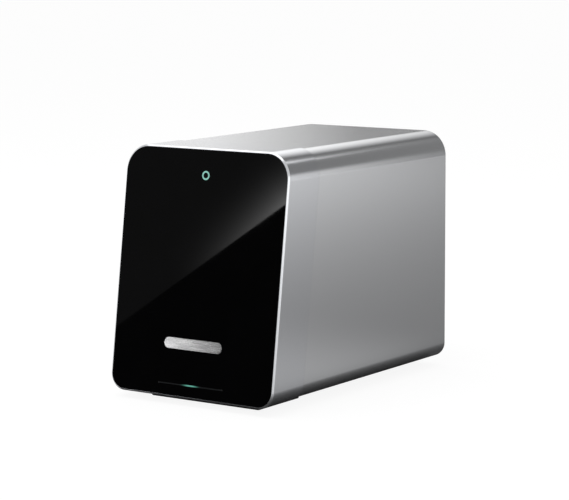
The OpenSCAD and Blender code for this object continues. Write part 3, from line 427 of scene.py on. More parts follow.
CARRIED = (SATIN, BRUSHED, GLOSS, RING_GLOW, BAR_GLOW, RUBBER, BLACK_PLASTIC, WHITE_PLASTIC, TAPE, POWDER,
           MILLED, BLACK_ANODISED, ZINC, POLISHED, BRASS, BOARD, GLASS, MIRROR)


# Shared form


@dataclass(frozen=True)
class Form:
    """The body's sizes, in millimetres, that the pieces share."""

    width: float = 122.0
    height: float = 150.0
    depth: float = 199.0
    upper_corner: float = 16.5
    lower_corner: float = 10.5
    rake: float = 8.1
    lift: float = 4.6
    step: float = 0.7
    wall: float = 2.5
    rim: float = 1.1
    rim_slope: float = 0.9
    fit: float = 0.2
    bezel_depth: float = 32.0
    rear_sink: float = 6.0
    rear_thickness: float = 3.0
    screw_room: float = 3.6
    arc: int = 20

    @property
    def slope(self) -> float:
        """How far the face leans back for each unit of height."""
        return math.tan(math.radians(self.rake))

    @property
    def front(self) -> float:
        """Y of the face's foot."""
        return -self.depth / 2

    @property
    def rear(self) -> float:
        """Y of the sleeve's rear end."""
        return self.depth / 2

    @property
    def middle(self) -> float:
        """Height of the body's middle."""
        return self.lift + self.height / 2

    @property
    def inside(self) -> float:
        """How far the sleeve's bore lies in from the bezel's outline."""
        return self.step + self.wall

    @property
    def corner_screw(self) -> Pair:
        """X and Z of the screw in the rear panel's upper right corner."""
        reach = (self.upper_corner - self.inside - self.fit - self.screw_room) / math.sqrt(2)
        return self.width / 2 - self.upper_corner + reach, self.lift + self.height - self.upper_corner + reach

    @property
    def rear_face(self) -> float:
        """Y of the rear panel's outer face."""
        return self.rear - self.rear_sink

    @property
    def rear_back(self) -> float:
        """Y of the rear panel's inner face."""
        return self.rear_face - self.rear_thickness

    @property
    def face_length(self) -> float:
        """Length of the leaning face."""
        return self.height / math.cos(math.radians(self.rake))

    @property
    def bezel_thickness(self) -> float:
        """Depth of the bezel square to the leaning face."""
        return self.bezel_depth * math.cos(math.radians(self.rake))

    def upright(self, y: float, x: float = 0.0, z: float = 0.0) -> Matrix:
        """Place an outline in an upright plane.

        Args:
            y: The plane's place along Y.
            x: The outline's middle along X.
            z: The outline's middle along Z.

        Returns:
            Matrix from the drawing plane to the body.
        """
        return Matrix.Translation((x, y, z)) @ Matrix.Rotation(math.radians(90), 4, "X")

    def leaning(self, out: float, z: float = 0.0) -> Matrix:
        """Place an outline in a plane that leans with the face, drawn along Y onto it.

        Args:
            out: The plane's level outwards from the face.
            z: The outline's middle along Z.

        Returns:
            Matrix from the drawing plane to the body.
        """
        shear = Matrix.Identity(4)
        shear[1][2] = self.slope
        y = self.front - out / math.cos(math.radians(self.rake)) - self.lift * self.slope
        return Matrix.Translation((0.0, y, 0.0)) @ shear @ self.upright(0.0, 0.0, z)

    def on_face(self, up: float, out: float) -> Matrix:
        """Place an outline square on the leaning face.

        Args:
            up: Distance up the face from its foot.
            out: Level outwards from the face.

        Returns:
            Matrix from the drawing plane to the body.
        """
        lean = Matrix.Rotation(math.radians(90 - self.rake), 4, "X")
        return Matrix.Translation((0.0, self.front, self.lift)) @ lean @ Matrix.Translation((0.0, up, out))

    @property
    def outward(self) -> Vector:
        """Direction square out of the leaning face."""
        return self.on_face(0.0, 0.0).to_3x3() @ Vector((0, 0, 1))

    def face_point(self, x: float, up: float) -> Vector:
        """A point on the leaning face, in metres.

        Args:
            x: Distance across from the middle.
            up: Distance up the face from its foot.

        Returns:
            The point in the body's frame.
        """
        return self.on_face(up, 0.0) @ Vector((x, 0.0, 0.0)) * MM


FORM = Form()
# X and Y of the screw in the right half of each foot
FRONT_SCREW = (31.0, -51.43)
REAR_SCREW = (21.0, 65.5)


@dataclass
class Shell:
    """A mesh in the making, drawn in millimetres, that becomes one piece."""

    name: str
    bm: bmesh.types.BMesh = field(default_factory=bmesh.new)

    def rounded(self, width: float, height: float, radius: float, place: Matrix, segments: int = 8,
                lower: float | None = None) -> Ring:
        """Draw a closed outline with rounded corners.

        Args:
            width: Full width.
            height: Full height.
            radius: Radius of the upper corners, at most half the smaller side.
            place: Matrix from the drawing plane to the body.
            segments: Steps in each corner.
            lower: Radius of the lower corners where it is another.

        Returns:
            The outline's edges.
        """
        known = set(self.bm.faces)
        verts = bmesh.ops.create_grid(self.bm, x_segments=1, y_segments=1, size=0.5)["verts"]
        bmesh.ops.scale(self.bm, vec=(width, height, 1.0), verts=verts)
        pairs = [v for v in verts if v.co.y > 0], [v for v in verts if v.co.y < 0]
        for corners, size in zip(pairs, (radius, lower or radius)):
            size = min(size, width / 2 - SLIVER, height / 2 - SLIVER)
            bmesh.ops.bevel(self.bm, geom=corners, offset=size, offset_type="OFFSET", affect="VERTICES",
                            segments=segments, profile=0.5, material=-1, clamp_overlap=False)
        made = [f for f in self.bm.faces if f not in known]
        ring = list(dict.fromkeys(e for f in made for e in f.edges))
        bmesh.ops.transform(self.bm, matrix=place, verts=self.corners(ring))
        bmesh.ops.delete(self.bm, geom=made, context="FACES_ONLY")
        return ring

    def circle(self, diameter: float, place: Matrix, segments: int = 64) -> Ring:
        """Draw a circle.

        Args:
            diameter: Its diameter.
            place: Matrix from the drawing plane to the body.
            segments: Steps round it.

        Returns:
            The circle's edges.
        """
        verts = bmesh.ops.create_circle(self.bm, segments=segments, radius=diameter / 2)["verts"]
        bmesh.ops.transform(self.bm, matrix=place, verts=verts)
        return list(dict.fromkeys(e for v in verts for e in v.link_edges))

    def body_outline(self, inset: float, place: Matrix) -> Ring:
        """Draw the body's cross-section.

        Args:
            inset: How far it is drawn in from the bezel's outline.
            place: Matrix from the drawing plane to the body.

        Returns:
            The outline's edges.
        """
        upper, lower = max(FORM.upper_corner - inset, 1.0), max(FORM.lower_corner - inset, 1.0)
        return self.rounded(FORM.width - 2 * inset, FORM.height - 2 * inset, upper, place, FORM.arc, lower)

    def skin(self, *rings: Ring, closed: bool = False) -> None:
        """Join each ring to the next with faces.

        Rings that share a middle are drawn apart while they are joined, so that the faces can't twist.

        Args:
            rings: The rings in order.
            closed: Whether the last ring joins the first.
        """
        followers = [*rings[1:], rings[0]] if closed else rings[1:]
        for ring, follower in zip(rings, followers):
            verts = self.corners(follower)
            flat = (self.middle(ring) - self.middle(follower)).length < SLIVER
            away = APART if flat else Vector()
            bmesh.ops.translate(self.bm, vec=away, verts=verts)
            bmesh.ops.bridge_loops(self.bm, edges=ring + follower)
            bmesh.ops.translate(self.bm, vec=-away, verts=verts)

    def corners(self, ring: Ring) -> list[bmesh.types.BMVert]:
        """A ring's corners, each once and in the order of its edges, so that every run is alike."""
        return list(dict.fromkeys(v for e in ring for v in e.verts))

    def middle(self, ring: Ring) -> Vector:
        """Mean place of a ring's corners."""
        verts = self.corners(ring)
        return sum((v.co for v in verts), Vector()) / len(verts)

    def fill(self, *rings: Ring) -> None:
        """Fill the flat area between a ring and the rings within it."""
        bmesh.ops.triangle_fill(self.bm, edges=[e for r in rings for e in r], use_beauty=True)

    def soften(self, ring: Ring, width: float, steps: int = 2) -> None:
        """Round the edges of a ring.

        Args:
            ring: The edges.
            width: Width of the rounding.
            steps: Faces across it.
        """
        bmesh.ops.bevel(self.bm, geom=[e for e in ring if e.is_valid], offset=width, offset_type="OFFSET",
                        affect="EDGES", segments=steps, profile=0.5, material=-1, clamp_overlap=True)

    def block(self, low: Triple, high: Triple) -> list[bmesh.types.BMVert]:
        """Add a block between two corners.

        Args:
            low: Its lowest corner.
            high: Its highest corner.

        Returns:
            The block's vertices.
        """
        verts = bmesh.ops.create_cube(self.bm, size=1.0)["verts"]
        bmesh.ops.scale(self.bm, vec=[h - l for l, h in zip(low, high)], verts=verts)
        bmesh.ops.translate(self.bm, vec=[(h + l) / 2 for l, h in zip(low, high)], verts=verts)
        return verts

    def drill(self, diameter: float, low: float, high: float, place: Matrix, mouth: float = 0.0,
              segments: int = 40) -> None:
        """Add a closed cylinder or cone along the drawing plane's normal.

        Args:
            diameter: Diameter at the low end.
            low: Where it starts.
            high: Where it ends.
            place: Matrix from the drawing plane to the body.
            mouth: Diameter at the high end, if it differs.
            segments: Faces round it.
        """
        verts = bmesh.ops.create_cone(self.bm, cap_ends=True, segments=segments, radius1=diameter / 2,
                                      radius2=(mouth or diameter) / 2, depth=high - low)["verts"]
        bmesh.ops.translate(self.bm, vec=(0.0, 0.0, (low + high) / 2), verts=verts)
        bmesh.ops.transform(self.bm, matrix=place, verts=verts)

    def lathe(self, profile: list[Pair], place: Matrix, steps: int = 48) -> None:
        """Turn a profile that starts and ends on its axis round the drawing plane's normal.

        Args:
            profile: Radius and height of its corners, in order.
            place: Matrix from the drawing plane to the body.
            steps: Faces round it.
        """
        verts = [self.bm.verts.new((r, 0.0, z)) for r, z in profile]
        edges = [self.bm.edges.new(pair) for pair in zip(verts, verts[1:])]
        bmesh.ops.spin(self.bm, geom=[*verts, *edges], cent=(0, 0, 0), axis=(0, 0, 1), dvec=(0, 0, 0),
                       angle=math.tau, steps=steps, use_merge=True, use_duplicate=False)
        bmesh.ops.transform(self.bm, matrix=place, verts=self.bm.verts)

    def cut_off(self, point: Vector, outward: Vector) -> None:
        """Cut off what lies beyond a plane.

        Args:
            point: A point of the plane.
            outward: The plane's normal, on the side that goes.
        """
        whole = [*self.bm.verts, *self.bm.edges, *self.bm.faces]
        bmesh.ops.bisect_plane(self.bm, geom=whole, clear_outer=True, plane_co=point, plane_no=outward)
        bmesh.ops.holes_fill(self.bm, edges=self.bm.edges, sides=0)

    def trim(self, out: float) -> None:
        """Cut off what stands in front of a plane that leans with the face.

        Args:
            out: The plane's level outwards from the face.
        """
        self.cut_off(FORM.on_face(0.0, out).translation, FORM.outward)

    def combine(self, other: "Shell", cut: Cut) -> None:
        """Combine this shell with another one, which is used up.

        Args:
            other: The other shell.
            cut: Whether it is taken away or added.
        """
        objects = [shell.plain_object() for shell in (self, other)]
        step = objects[0].modifiers.new("combine", "BOOLEAN")
        step.operation = cut.value
        step.solver = "EXACT"
        step.object = objects[1]
        graph = bpy.context.evaluated_depsgraph_get()
        result = bpy.data.meshes.new_from_object(objects[0].evaluated_get(graph))
        self.bm = bmesh.new()
        self.bm.from_mesh(result)
        for mesh in [result, *(o.data for o in objects)]:
            bpy.data.meshes.remove(mesh)

    def plain_object(self) -> bpy.types.Object:
        """Close the mesh and put it in an object, still in millimetres.

        Returns:
            The new object.
        """
        bmesh.ops.remove_doubles(self.bm, verts=self.bm.verts, dist=SLIVER / 4)
        bmesh.ops.recalc_face_normals(self.bm, faces=self.bm.faces)
        mesh = bpy.data.meshes.new(self.name)
        self.bm.to_mesh(mesh)
        self.bm.free()
        made = bpy.data.objects.new(self.name, mesh)
        bpy.context.scene.collection.objects.link(made)
        return made

    def publish(self, body: Body, slot: str, finish: Finish, *nodes: str, sharp: float = 30.0,
                edge: float = 0.0) -> bpy.types.Object:
        """Turn the shell into a dressed piece.

        Args:
            body: The body that it rides on.
            slot: The record's material slot; not used.
            finish: Its finish.
            nodes: The solids that it stands for.
            sharp: Angle in degrees past which an edge stays sharp.
            edge: Width of a rounding on every sharp edge, in millimetres.

        Returns:
            The piece.
        """
        piece = self.plain_object()
        piece.data.transform(Matrix.Scale(MM, 4))
        if edge:
            step = piece.modifiers.new("edges", "BEVEL")
            step.width = edge * MM
            step.segments = 2
            step.limit_method = "ANGLE"
            step.angle_limit = math.radians(sharp)
            step.harden_normals = False
        piece.data.shade_smooth()
        piece.data.set_sharp_from_angle(angle=math.radians(sharp))
        even = piece.modifiers.new("even_shading", "WEIGHTED_NORMAL")
        even.keep_sharp = True
        piece.data.materials.append(finish.material())
        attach(piece, body.value)
        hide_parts(*nodes)
        LOG.info("%s: %d faces on %s", piece.name, len(piece.data.polygons), body.value)
        return piece


# Casing


@dataclass
class Casing:
    """Bezel and sleeve."""

    tongue_length: float = 7.0
    glue: float = 0.1
    seam: float = 0.25
    seat: float = 3.8
    rim_soft: float = 0.15
    back_soft: float = 0.3
    seam_soft: float = 0.25
    rear_soft: float = 0.5
    bore_soft: float = 0.25
    screw_x: float = 47.0
    screw_back: float = 4.5
    screw_head: float = 5.7
    screw_shank: float = 3.3
    screw_sink: float = 1.5
    tap: float = 3.1
    channel: float = 7.0
    channel_start: float = 1.0
    channel_tap: float = 15.0

    def build(self) -> None:
        """Build both pieces."""
        self.bezel()
        self.sleeve()

    @property
    def screw_y(self) -> float:
        """Y of the two screws that join bezel and sleeve."""
        return FORM.front + FORM.bezel_depth + self.screw_back

    def bezel(self) -> None:
        """Ring with a sloping rim and a seat for the panel."""
        shell = Shell("bezel_ring")
        back, inner = -FORM.bezel_thickness, FORM.inside + FORM.fit - self.glue
        levels = [(0.0, back), (0.0, -FORM.rim_slope), (FORM.rim_slope, 0.0), (FORM.rim, 0.0),
                  (FORM.rim, -self.seat), (inner, -self.seat), (inner, back)]
        rings = [shell.body_outline(inset, FORM.leaning(out, FORM.middle)) for inset, out in levels]
        shell.skin(*rings, closed=True)
        shell.soften(rings[1] + rings[2], self.rim_soft, 3)
        shell.soften(rings[0], self.back_soft, 3)
        shell.publish(Body.CASE, "satin_aluminium", BEZEL_SATIN, "front_bezel")

    def sleeve(self) -> None:
        """Tube from the seam to the rear end, with two screw channels in its solid upper corners."""
        shell = Shell("sleeve_shell")
        seam = -FORM.bezel_thickness - self.seam
        rings = [shell.body_outline(inset, place) for inset in (FORM.step, FORM.inside)
                 for place in (FORM.leaning(seam, FORM.middle), FORM.upright(FORM.rear, 0.0, FORM.middle))]
        rings = [rings[0], rings[1], rings[3], rings[2]]
        shell.skin(*rings, closed=True)
        shell.soften(rings[0], self.seam_soft, 3)
        shell.soften(rings[1], self.rear_soft, 4)
        shell.soften(rings[2], self.bore_soft, 2)
        for side in (-1, 1):
            shell.combine(self.channels(side), Cut.ADD)
        shell.combine(self.holes(), Cut.TAKE_AWAY)
        shell.publish(Body.CASE, "satin_aluminium", SATIN, "housing_sleeve")

    def channels(self, side: int) -> Shell:
        """Solid corner of one side with its screw channel.

        Args:
            side: Which side, -1 or 1.

        Returns:
            The corner, still to be joined to the tube.
        """
        x, z = side * FORM.corner_screw[0], FORM.corner_screw[1]
        corner = Shell("sleeve_corner")
        rings = [corner.body_outline(FORM.step + FORM.wall / 2, FORM.upright(y, 0.0, FORM.middle))
                 for y in (FORM.front, FORM.rear_back)]
        corner.skin(*rings)
        for ring in rings:
            corner.fill(ring)
        inwards = Vector((-side, 0.0, -1.0)).normalized()
        corner.cut_off(Vector((x, 0.0, z)) + self.channel / 8 * inwards, inwards)
        channel = Shell("sleeve_channel")
        channel.drill(self.channel, 0.0, FORM.rear_back - FORM.front, FORM.upright(FORM.rear_back, x, z))
        corner.combine(channel, Cut.ADD)
        corner.trim(-FORM.bezel_thickness - self.tongue_length - self.channel_start)
        return corner

    def holes(self) -> Shell:
        """The sleeve's holes: two countersinks, four foot screws and two taps in the channels.

        Returns:
            The holes as one shell.
        """
        holes = Shell("sleeve_holes")
        floor = FORM.lift + FORM.step
        through = FORM.wall + PAST
        channel_x, channel_z = FORM.corner_screw
        for side in (-1, 1):
            place = Matrix.Translation((side * self.screw_x, self.screw_y, floor))
            holes.drill(self.screw_head, -LAP, self.screw_sink, place, self.screw_shank)
            holes.drill(self.screw_shank, self.screw_sink - LAP, through, place)
            for x, y in (FRONT_SCREW, REAR_SCREW):
                holes.drill(self.screw_shank, -PAST, through, Matrix.Translation((side * x, y, floor)))
            holes.drill(self.tap, -PAST, self.channel_tap,
                        FORM.upright(FORM.rear_back, side * channel_x, channel_z))
        return holes


# Front


@dataclass
class Front:
    """Black gloss panel with its lit ring and light bar."""

    thickness: float = 3.0
    sink: float = 0.3
    ring_outer: float = 5.5
    ring_inner: float = 3.5
    ring_drop: float = 16.5
    bar_length: float = 48.0
    bar_height: float = 0.8
    bar_up: float = 8.1
    inlay: float = 0.8
    slack: float = 0.02
    ring_soft: float = 0.08
    bar_soft: float = 0.1
    slot_width: float = 43.6
    slot_height: float = 7.2
    slot_z: float = 37.0

    @property
    def ring_up(self) -> float:
        """Distance of the ring's middle up the face."""
        return FORM.face_length - self.ring_drop

    def build(self) -> None:
        """Build the panel and its two windows."""
        self.panel()
        self.ring()
        self.bar()

    def panel(self) -> None:
        """Plate with a slot for the drawer front and pockets for the windows."""
        shell = Shell("gloss_panel")
        edge = FORM.rim + FORM.fit
        face, back, floor = -self.sink, -self.sink - self.thickness, -self.sink - self.inlay
        outer = [shell.body_outline(edge, FORM.leaning(out, FORM.middle)) for out in (face, back)]
        slot = [shell.rounded(self.slot_width, self.slot_height, self.slot_height / 2,
                              FORM.leaning(out, self.slot_z), 14) for out in (face, back)]
        bar = [shell.rounded(self.bar_length + 2 * self.slack, self.bar_height + 2 * self.slack,
                             self.bar_height, FORM.on_face(self.bar_up, out)) for out in (face, floor)]
        ring = [shell.circle(self.ring_outer + 2 * self.slack, FORM.on_face(self.ring_up, out))
                for out in (face, floor)]
        core = [shell.circle(self.ring_inner - 2 * self.slack, FORM.on_face(self.ring_up, out))
                for out in (face, floor)]
        for pair in (outer, slot, bar, ring, core):
            shell.skin(*pair)
        shell.fill(outer[0], slot[0], bar[0], ring[0])
        shell.fill(outer[1], slot[1])
        shell.fill(bar[1])
        shell.fill(ring[1], core[1])
        shell.fill(core[0])
        shell.publish(Body.CASE, "black_panel", GLOSS, "front_panel")

    def ring(self) -> None:
        """Flush ring window."""
        shell = Shell("ring_lens")
        face, floor = -self.sink, -self.sink - self.inlay
        outer, inner = self.ring_outer, self.ring_inner
        rings = [shell.circle(size, FORM.on_face(self.ring_up, out))
                 for size, out in ((outer, floor), (outer, face), (inner, face), (inner, floor))]
        shell.skin(*rings, closed=True)
        shell.soften(rings[1] + rings[2], self.ring_soft, 2)
        shell.publish(Body.CASE, "teal_window", RING_GLOW, "ring_window")

    def bar(self) -> None:
        """Flush light bar."""
        shell = Shell("bar_lens")
        rings = [shell.rounded(self.bar_length, self.bar_height, self.bar_height,
                               FORM.on_face(self.bar_up, out))
                 for out in (-self.sink - self.inlay, -self.sink)]
        shell.skin(*rings)
        for ring in rings:
            shell.fill(ring)
        shell.soften(rings[1], self.bar_soft, 2)
        shell.publish(Body.CASE, "smoke_window", BAR_GLOW, "bar_window")


# Drawer


@dataclass
class Drawer:
    """Pill-shaped drawer front and the tray behind it."""

    width: float = 42.9
    height: float = 6.5
    thickness: float = 5.0
    level: float = 0.1
    z: float = 37.0
    chamfer: float = 0.55
    back_soft: float = 0.2
    tray_width: float = 39.0
    tray_height: float = 6.2
    tray_end: float = -15.5
    well_width: float = 33.0
    well_length: float = 43.0
    well_start: float = -85.498
    well_depth: float = 4.5
    notch: float = 7.0
    magnet: float = 6.04
    magnet_depth: float = 1.2
    magnet_shares: Pair = (0.3, 0.7)
    tray_soft: float = 0.25
    tap: float = 2.1
    tap_x: float = 9.75
    tap_depth: float = 8.0

    def build(self) -> None:
        """Build the front and the tray."""
        self.pull()
        self.tray()

    def pull(self) -> None:
        """Brushed pill with a bright chamfer."""
        shell = Shell("pull_pill")
        rings = [shell.rounded(self.width, self.height, self.height / 2, FORM.leaning(out, self.z), 16)
                 for out in (self.level - self.thickness, self.level)]
        shell.skin(*rings)
        for ring in rings:
            shell.fill(ring)
        shell.soften(rings[1], self.chamfer, 2)
        shell.soften(rings[0], self.back_soft, 1)
        shell.publish(Body.DRAWER, "brushed_aluminium", BRUSHED, "drawer_front", sharp=15.0)

    def tray(self) -> None:
        """Tray with a plate well, finger notches and pockets for two magnets."""
        shell = Shell("tray_body")
        low, high = self.z - self.tray_height / 2, self.z + self.tray_height / 2
        half = self.tray_width / 2
        shell.block((-half, FORM.front, low), (half, self.tray_end, high))
        shell.trim(self.level - self.thickness)
        floor = high - self.well_depth
        well = Shell("tray_well")
        well.block((-self.well_width / 2, self.well_start, floor),
                   (self.well_width / 2, self.well_start + self.well_length, high + PAST))
        notches = Shell("tray_notches")
        for side in (-1, 1):
            notches.drill(self.notch, floor, high + PAST, Matrix.Translation(
                (side * self.well_width / 2, self.well_start + self.well_length / 2, 0.0)))
        well.combine(notches, Cut.ADD)
        pockets = Shell("tray_pockets")
        for share in self.magnet_shares:
            pockets.drill(self.magnet, floor - self.magnet_depth, floor + PAST / 2, Matrix.Translation(
                (0.0, self.well_start + self.well_length * share, 0.0)))
        well.combine(pockets, Cut.ADD)
        shell.combine(well, Cut.TAKE_AWAY)
        taps = Shell("tray_taps")
        for side in (-1, 1):
            taps.drill(self.tap, -PAST, self.tap_depth,
                       FORM.upright(self.tray_end, side * self.tap_x, self.z))
        shell.combine(taps, Cut.TAKE_AWAY)
        shell.publish(Body.DRAWER, "black_plastic", BLACK_PLASTIC, "plate_tray", edge=self.tray_soft)


# Feet


@dataclass
class Foot:
    """Black pad with sloping sides and two sunk screws."""

    name: str
    node: str
    width: float
    start: float
    length: float
    step_start: float
    screw: Pair
    slope: float = 1.6
    corner: float = 1.2
    soft: float = 0.4
    head: float = 6.6
    head_depth: float = 2.3
    shank: float = 3.3

    def build(self) -> None:
        """Build the pad, its raised seat and its screw holes."""
        shell = Shell(self.name)
        middle = self.start + self.length / 2
        rings = [shell.rounded(self.width - 2 * inset, self.length - 2 * inset, self.corner,
                               Matrix.Translation((0.0, middle, z)))
                 for inset, z in ((self.slope, 0.0), (0.0, FORM.lift))]
        shell.skin(*rings)
        for ring in rings:
            shell.fill(ring)
        shell.soften(rings[0], self.soft, 2)
        seat = Shell(self.name + "_seat")
        half = self.width / 2 - self.slope
        seat.block((-half, self.step_start, FORM.lift - PAST / 2),
                   (half, self.start + self.length - self.slope, FORM.lift + FORM.step))
        shell.combine(seat, Cut.ADD)
        holes = Shell(self.name + "_holes")
        for side in (-1, 1):
            place = Matrix.Translation((side * self.screw[0], self.screw[1], 0.0))
            holes.drill(self.head, -PAST, self.head_depth, place)
            holes.drill(self.shank, self.head_depth - 10 * LAP, FORM.lift + 2 * PAST, place)
        shell.combine(holes, Cut.TAKE_AWAY)
        shell.publish(Body.CASE, "black_rubber", RUBBER, self.node)


# Rear


@dataclass
class Rear:
    """Rear panel with its power inlet, data socket and switch."""

    inset: float = 3.4
    z: float = 44.6
    head: float = 5.7
    shank: float = 3.3
    head_depth: float = 1.5
    low_screw: Pair = (44.02, 18.2)
    plate_soft: float = 0.3
    switch_x: float = -30.0
    switch_width: float = 13.0
    switch_height: float = 19.0
    switch_depth: float = 16.0
    switch_wall: float = 1.0
    switch_rim: float = 1.5
    switch_lip: float = 1.5
    switch_corner: float = 0.4
    rim_corner: float = 1.2
    rim_soft: float = 0.6
    well_soft: float = 0.25
    pivot_d: float = 2.0
    pivot_length: float = 1.2
    pivot_root: float = 0.3
    pivot_depth: float = 3.5
    inlet_x: float = 10.0
    inlet_d: float = 8.0
    inlet_flange: float = 12.0
    inlet_lip: float = 1.2
    inlet_rim_soft: float = 0.35
    inlet_soft: float = 0.3
    inlet_bore: float = 5.6
    inlet_bore_depth: float = 10.0
    inlet_length: float = 12.0
    inlet_pin: float = 2.0
    inlet_pin_depth: float = 1.0
    inlet_nut: float = 12.0
    inlet_nut_depth: float = 2.0
    inlet_thread: float = 7.0
    data_x: float = 32.0
    data_width: float = 12.0
    data_height: float = 11.0
    data_wall: float = 0.5
    data_depth: float = 14.0
    data_proud: float = 0.8
    data_flange: Triple = (16.0, 15.0, 1.0)
    data_floor: float = 1.0
    data_corner: float = 0.9
    data_bore_corner: float = 0.5
    data_soft: float = 0.12

    def build(self) -> None:
        """Build the panel and what is set in it."""
        self.panel()
        self.inlet()
        self.data_socket()
        self.switch()

    def panel(self) -> None:
        """Plate with openings for the sockets and countersinks for its screws."""
        shell = Shell("rear_plate")
        back = FORM.rear_back
        outer = [shell.body_outline(self.inset, FORM.upright(y, 0.0, FORM.middle))
                 for y in (FORM.rear_face, back)]
        shell.skin(*outer)
        for ring in outer:
            shell.fill(ring)
        shell.soften(outer[0], self.plate_soft, 2)
        holes = Shell("rear_holes")
        through = FORM.rear_thickness + PAST
        for x, z in ((side * x, z) for side in (-1, 1) for x, z in (FORM.corner_screw, self.low_screw)):
            place = FORM.upright(FORM.rear_face, x, z)
            holes.drill(self.head, -LAP, self.head_depth, place, self.shank)
            holes.drill(self.shank, self.head_depth - LAP, through, place)
        holes.drill(self.inlet_d + 2 * FORM.fit, -PAST, through,
                    FORM.upright(FORM.rear_face, self.inlet_x, self.z))
        for x, width, height in ((self.switch_x, self.switch_width, self.switch_height),
                                 (self.data_x, self.data_width, self.data_height)):
            holes.block((x - width / 2 - FORM.fit, back - PAST, self.z - height / 2 - FORM.fit),
                        (x + width / 2 + FORM.fit, FORM.rear_face + PAST, self.z + height / 2 + FORM.fit))
        shell.combine(holes, Cut.TAKE_AWAY)
        shell.publish(Body.CASE, "dark_panel", POWDER, "rear_panel")

    def inlet(self) -> None:
        """Round power inlet with its pin."""
        shell = Shell("inlet_jack")
        rim, lip = self.inlet_flange / 2, self.inlet_lip
        bore, pin, tube = self.inlet_bore / 2, self.inlet_pin / 2, self.inlet_d / 2
        rim_soft, soft = self.inlet_rim_soft, self.inlet_soft
        profile = [(0.0, self.inlet_length), (tube, self.inlet_length), (tube, 0.0), (rim, 0.0),
                   (rim, -lip + rim_soft), (rim - rim_soft, -lip), (bore + soft, -lip), (bore, -lip + soft),
                   (bore, self.inlet_bore_depth), (pin, self.inlet_bore_depth),
                   (pin, self.inlet_pin_depth + soft), (pin - soft, self.inlet_pin_depth),
                   (0.0, self.inlet_pin_depth)]
        shell.lathe(profile, FORM.upright(FORM.rear_face, self.inlet_x, self.z))
        nut, thread = Shell("inlet_nut"), Shell("inlet_thread")
        place = FORM.upright(FORM.rear_back, self.inlet_x, self.z)
        nut.drill(self.inlet_nut, 0.0, self.inlet_nut_depth, place, segments=6)
        thread.drill(self.inlet_thread, -PAST, self.inlet_nut_depth + PAST, place)
        nut.combine(thread, Cut.TAKE_AWAY)
        shell.combine(nut, Cut.ADD)
        shell.publish(Body.CASE, "black_plastic", BLACK_PLASTIC, "dc_inlet")

    def data_socket(self) -> None:
        """Square folded shell of the data socket, open at the back."""
        shell = Shell("data_shell")
        end, floor = FORM.rear_face + self.data_proud, FORM.rear_face - self.data_depth
        wide, tall, wall = self.data_width, self.data_height, self.data_wall
        outer = wide, tall, self.data_corner
        inner = wide - 2 * wall, tall - 2 * wall, self.data_bore_corner
        rings = [shell.rounded(*outline, FORM.upright(y, self.data_x, self.z), 5) for outline, y in (
            (outer, floor - self.data_floor), (outer, end), (inner, end), (inner, floor))]
        shell.skin(*rings)
        shell.fill(rings[0])
        shell.fill(rings[-1])
        shell.soften(rings[1] + rings[2], self.data_soft, 2)
        flange, bore = Shell("data_flange"), Shell("data_bore")
        half_w, half_h, deep = self.data_flange[0] / 2, self.data_flange[1] / 2, self.data_flange[2]
        flange.block((self.data_x - half_w, FORM.rear_back - deep, self.z - half_h),
                     (self.data_x + half_w, FORM.rear_back, self.z + half_h))
        half_w, half_h = wide / 2 - wall / 2, tall / 2 - wall / 2
        bore.block((self.data_x - half_w, FORM.rear_back - 2 * deep, self.z - half_h),
                   (self.data_x + half_w, FORM.rear_back + deep, self.z + half_h))
        flange.combine(bore, Cut.TAKE_AWAY)
        shell.combine(flange, Cut.ADD)
        shell.publish(Body.CASE, "zinc_steel", ZINC, "usb_socket")

    def switch(self) -> None:
        """Housing of the rocker switch."""
        shell = Shell("switch_frame")
        wide, tall = self.switch_width, self.switch_height
        rim, wall = 2 * self.switch_rim, 2 * self.switch_wall
        end, floor = FORM.rear_face + self.switch_lip, FORM.rear_face - self.switch_depth
        outer = wide, tall, self.switch_corner
        flange = wide + rim, tall + rim, self.rim_corner
        well = wide - wall, tall - wall, self.switch_corner
        rings = [shell.rounded(*outline, FORM.upright(y, self.switch_x, self.z), 5) for outline, y in (
            (outer, floor), (outer, FORM.rear_face), (flange, FORM.rear_face), (flange, end), (well, end),
            (well, floor + self.switch_wall))]
        shell.skin(*rings)
        shell.fill(rings[0])
        shell.fill(rings[-1])
        shell.soften(rings[3], self.rim_soft, 4)
        shell.soften(rings[4], self.well_soft, 2)
        for side in (-1, 1):
            pin = Shell("switch_pin")
            x = self.switch_x + side * (wide / 2 - self.switch_wall)
            place = Matrix.Translation((x, FORM.rear_face - self.pivot_depth, self.z))
            pin.drill(self.pivot_d, -self.pivot_length, self.pivot_root,
                      place @ Matrix.Rotation(side * math.radians(90), 4, "Y"))
            shell.combine(pin, Cut.ADD)
        shell.publish(Body.CASE, "black_plastic", BLACK_PLASTIC, "switch_housing")


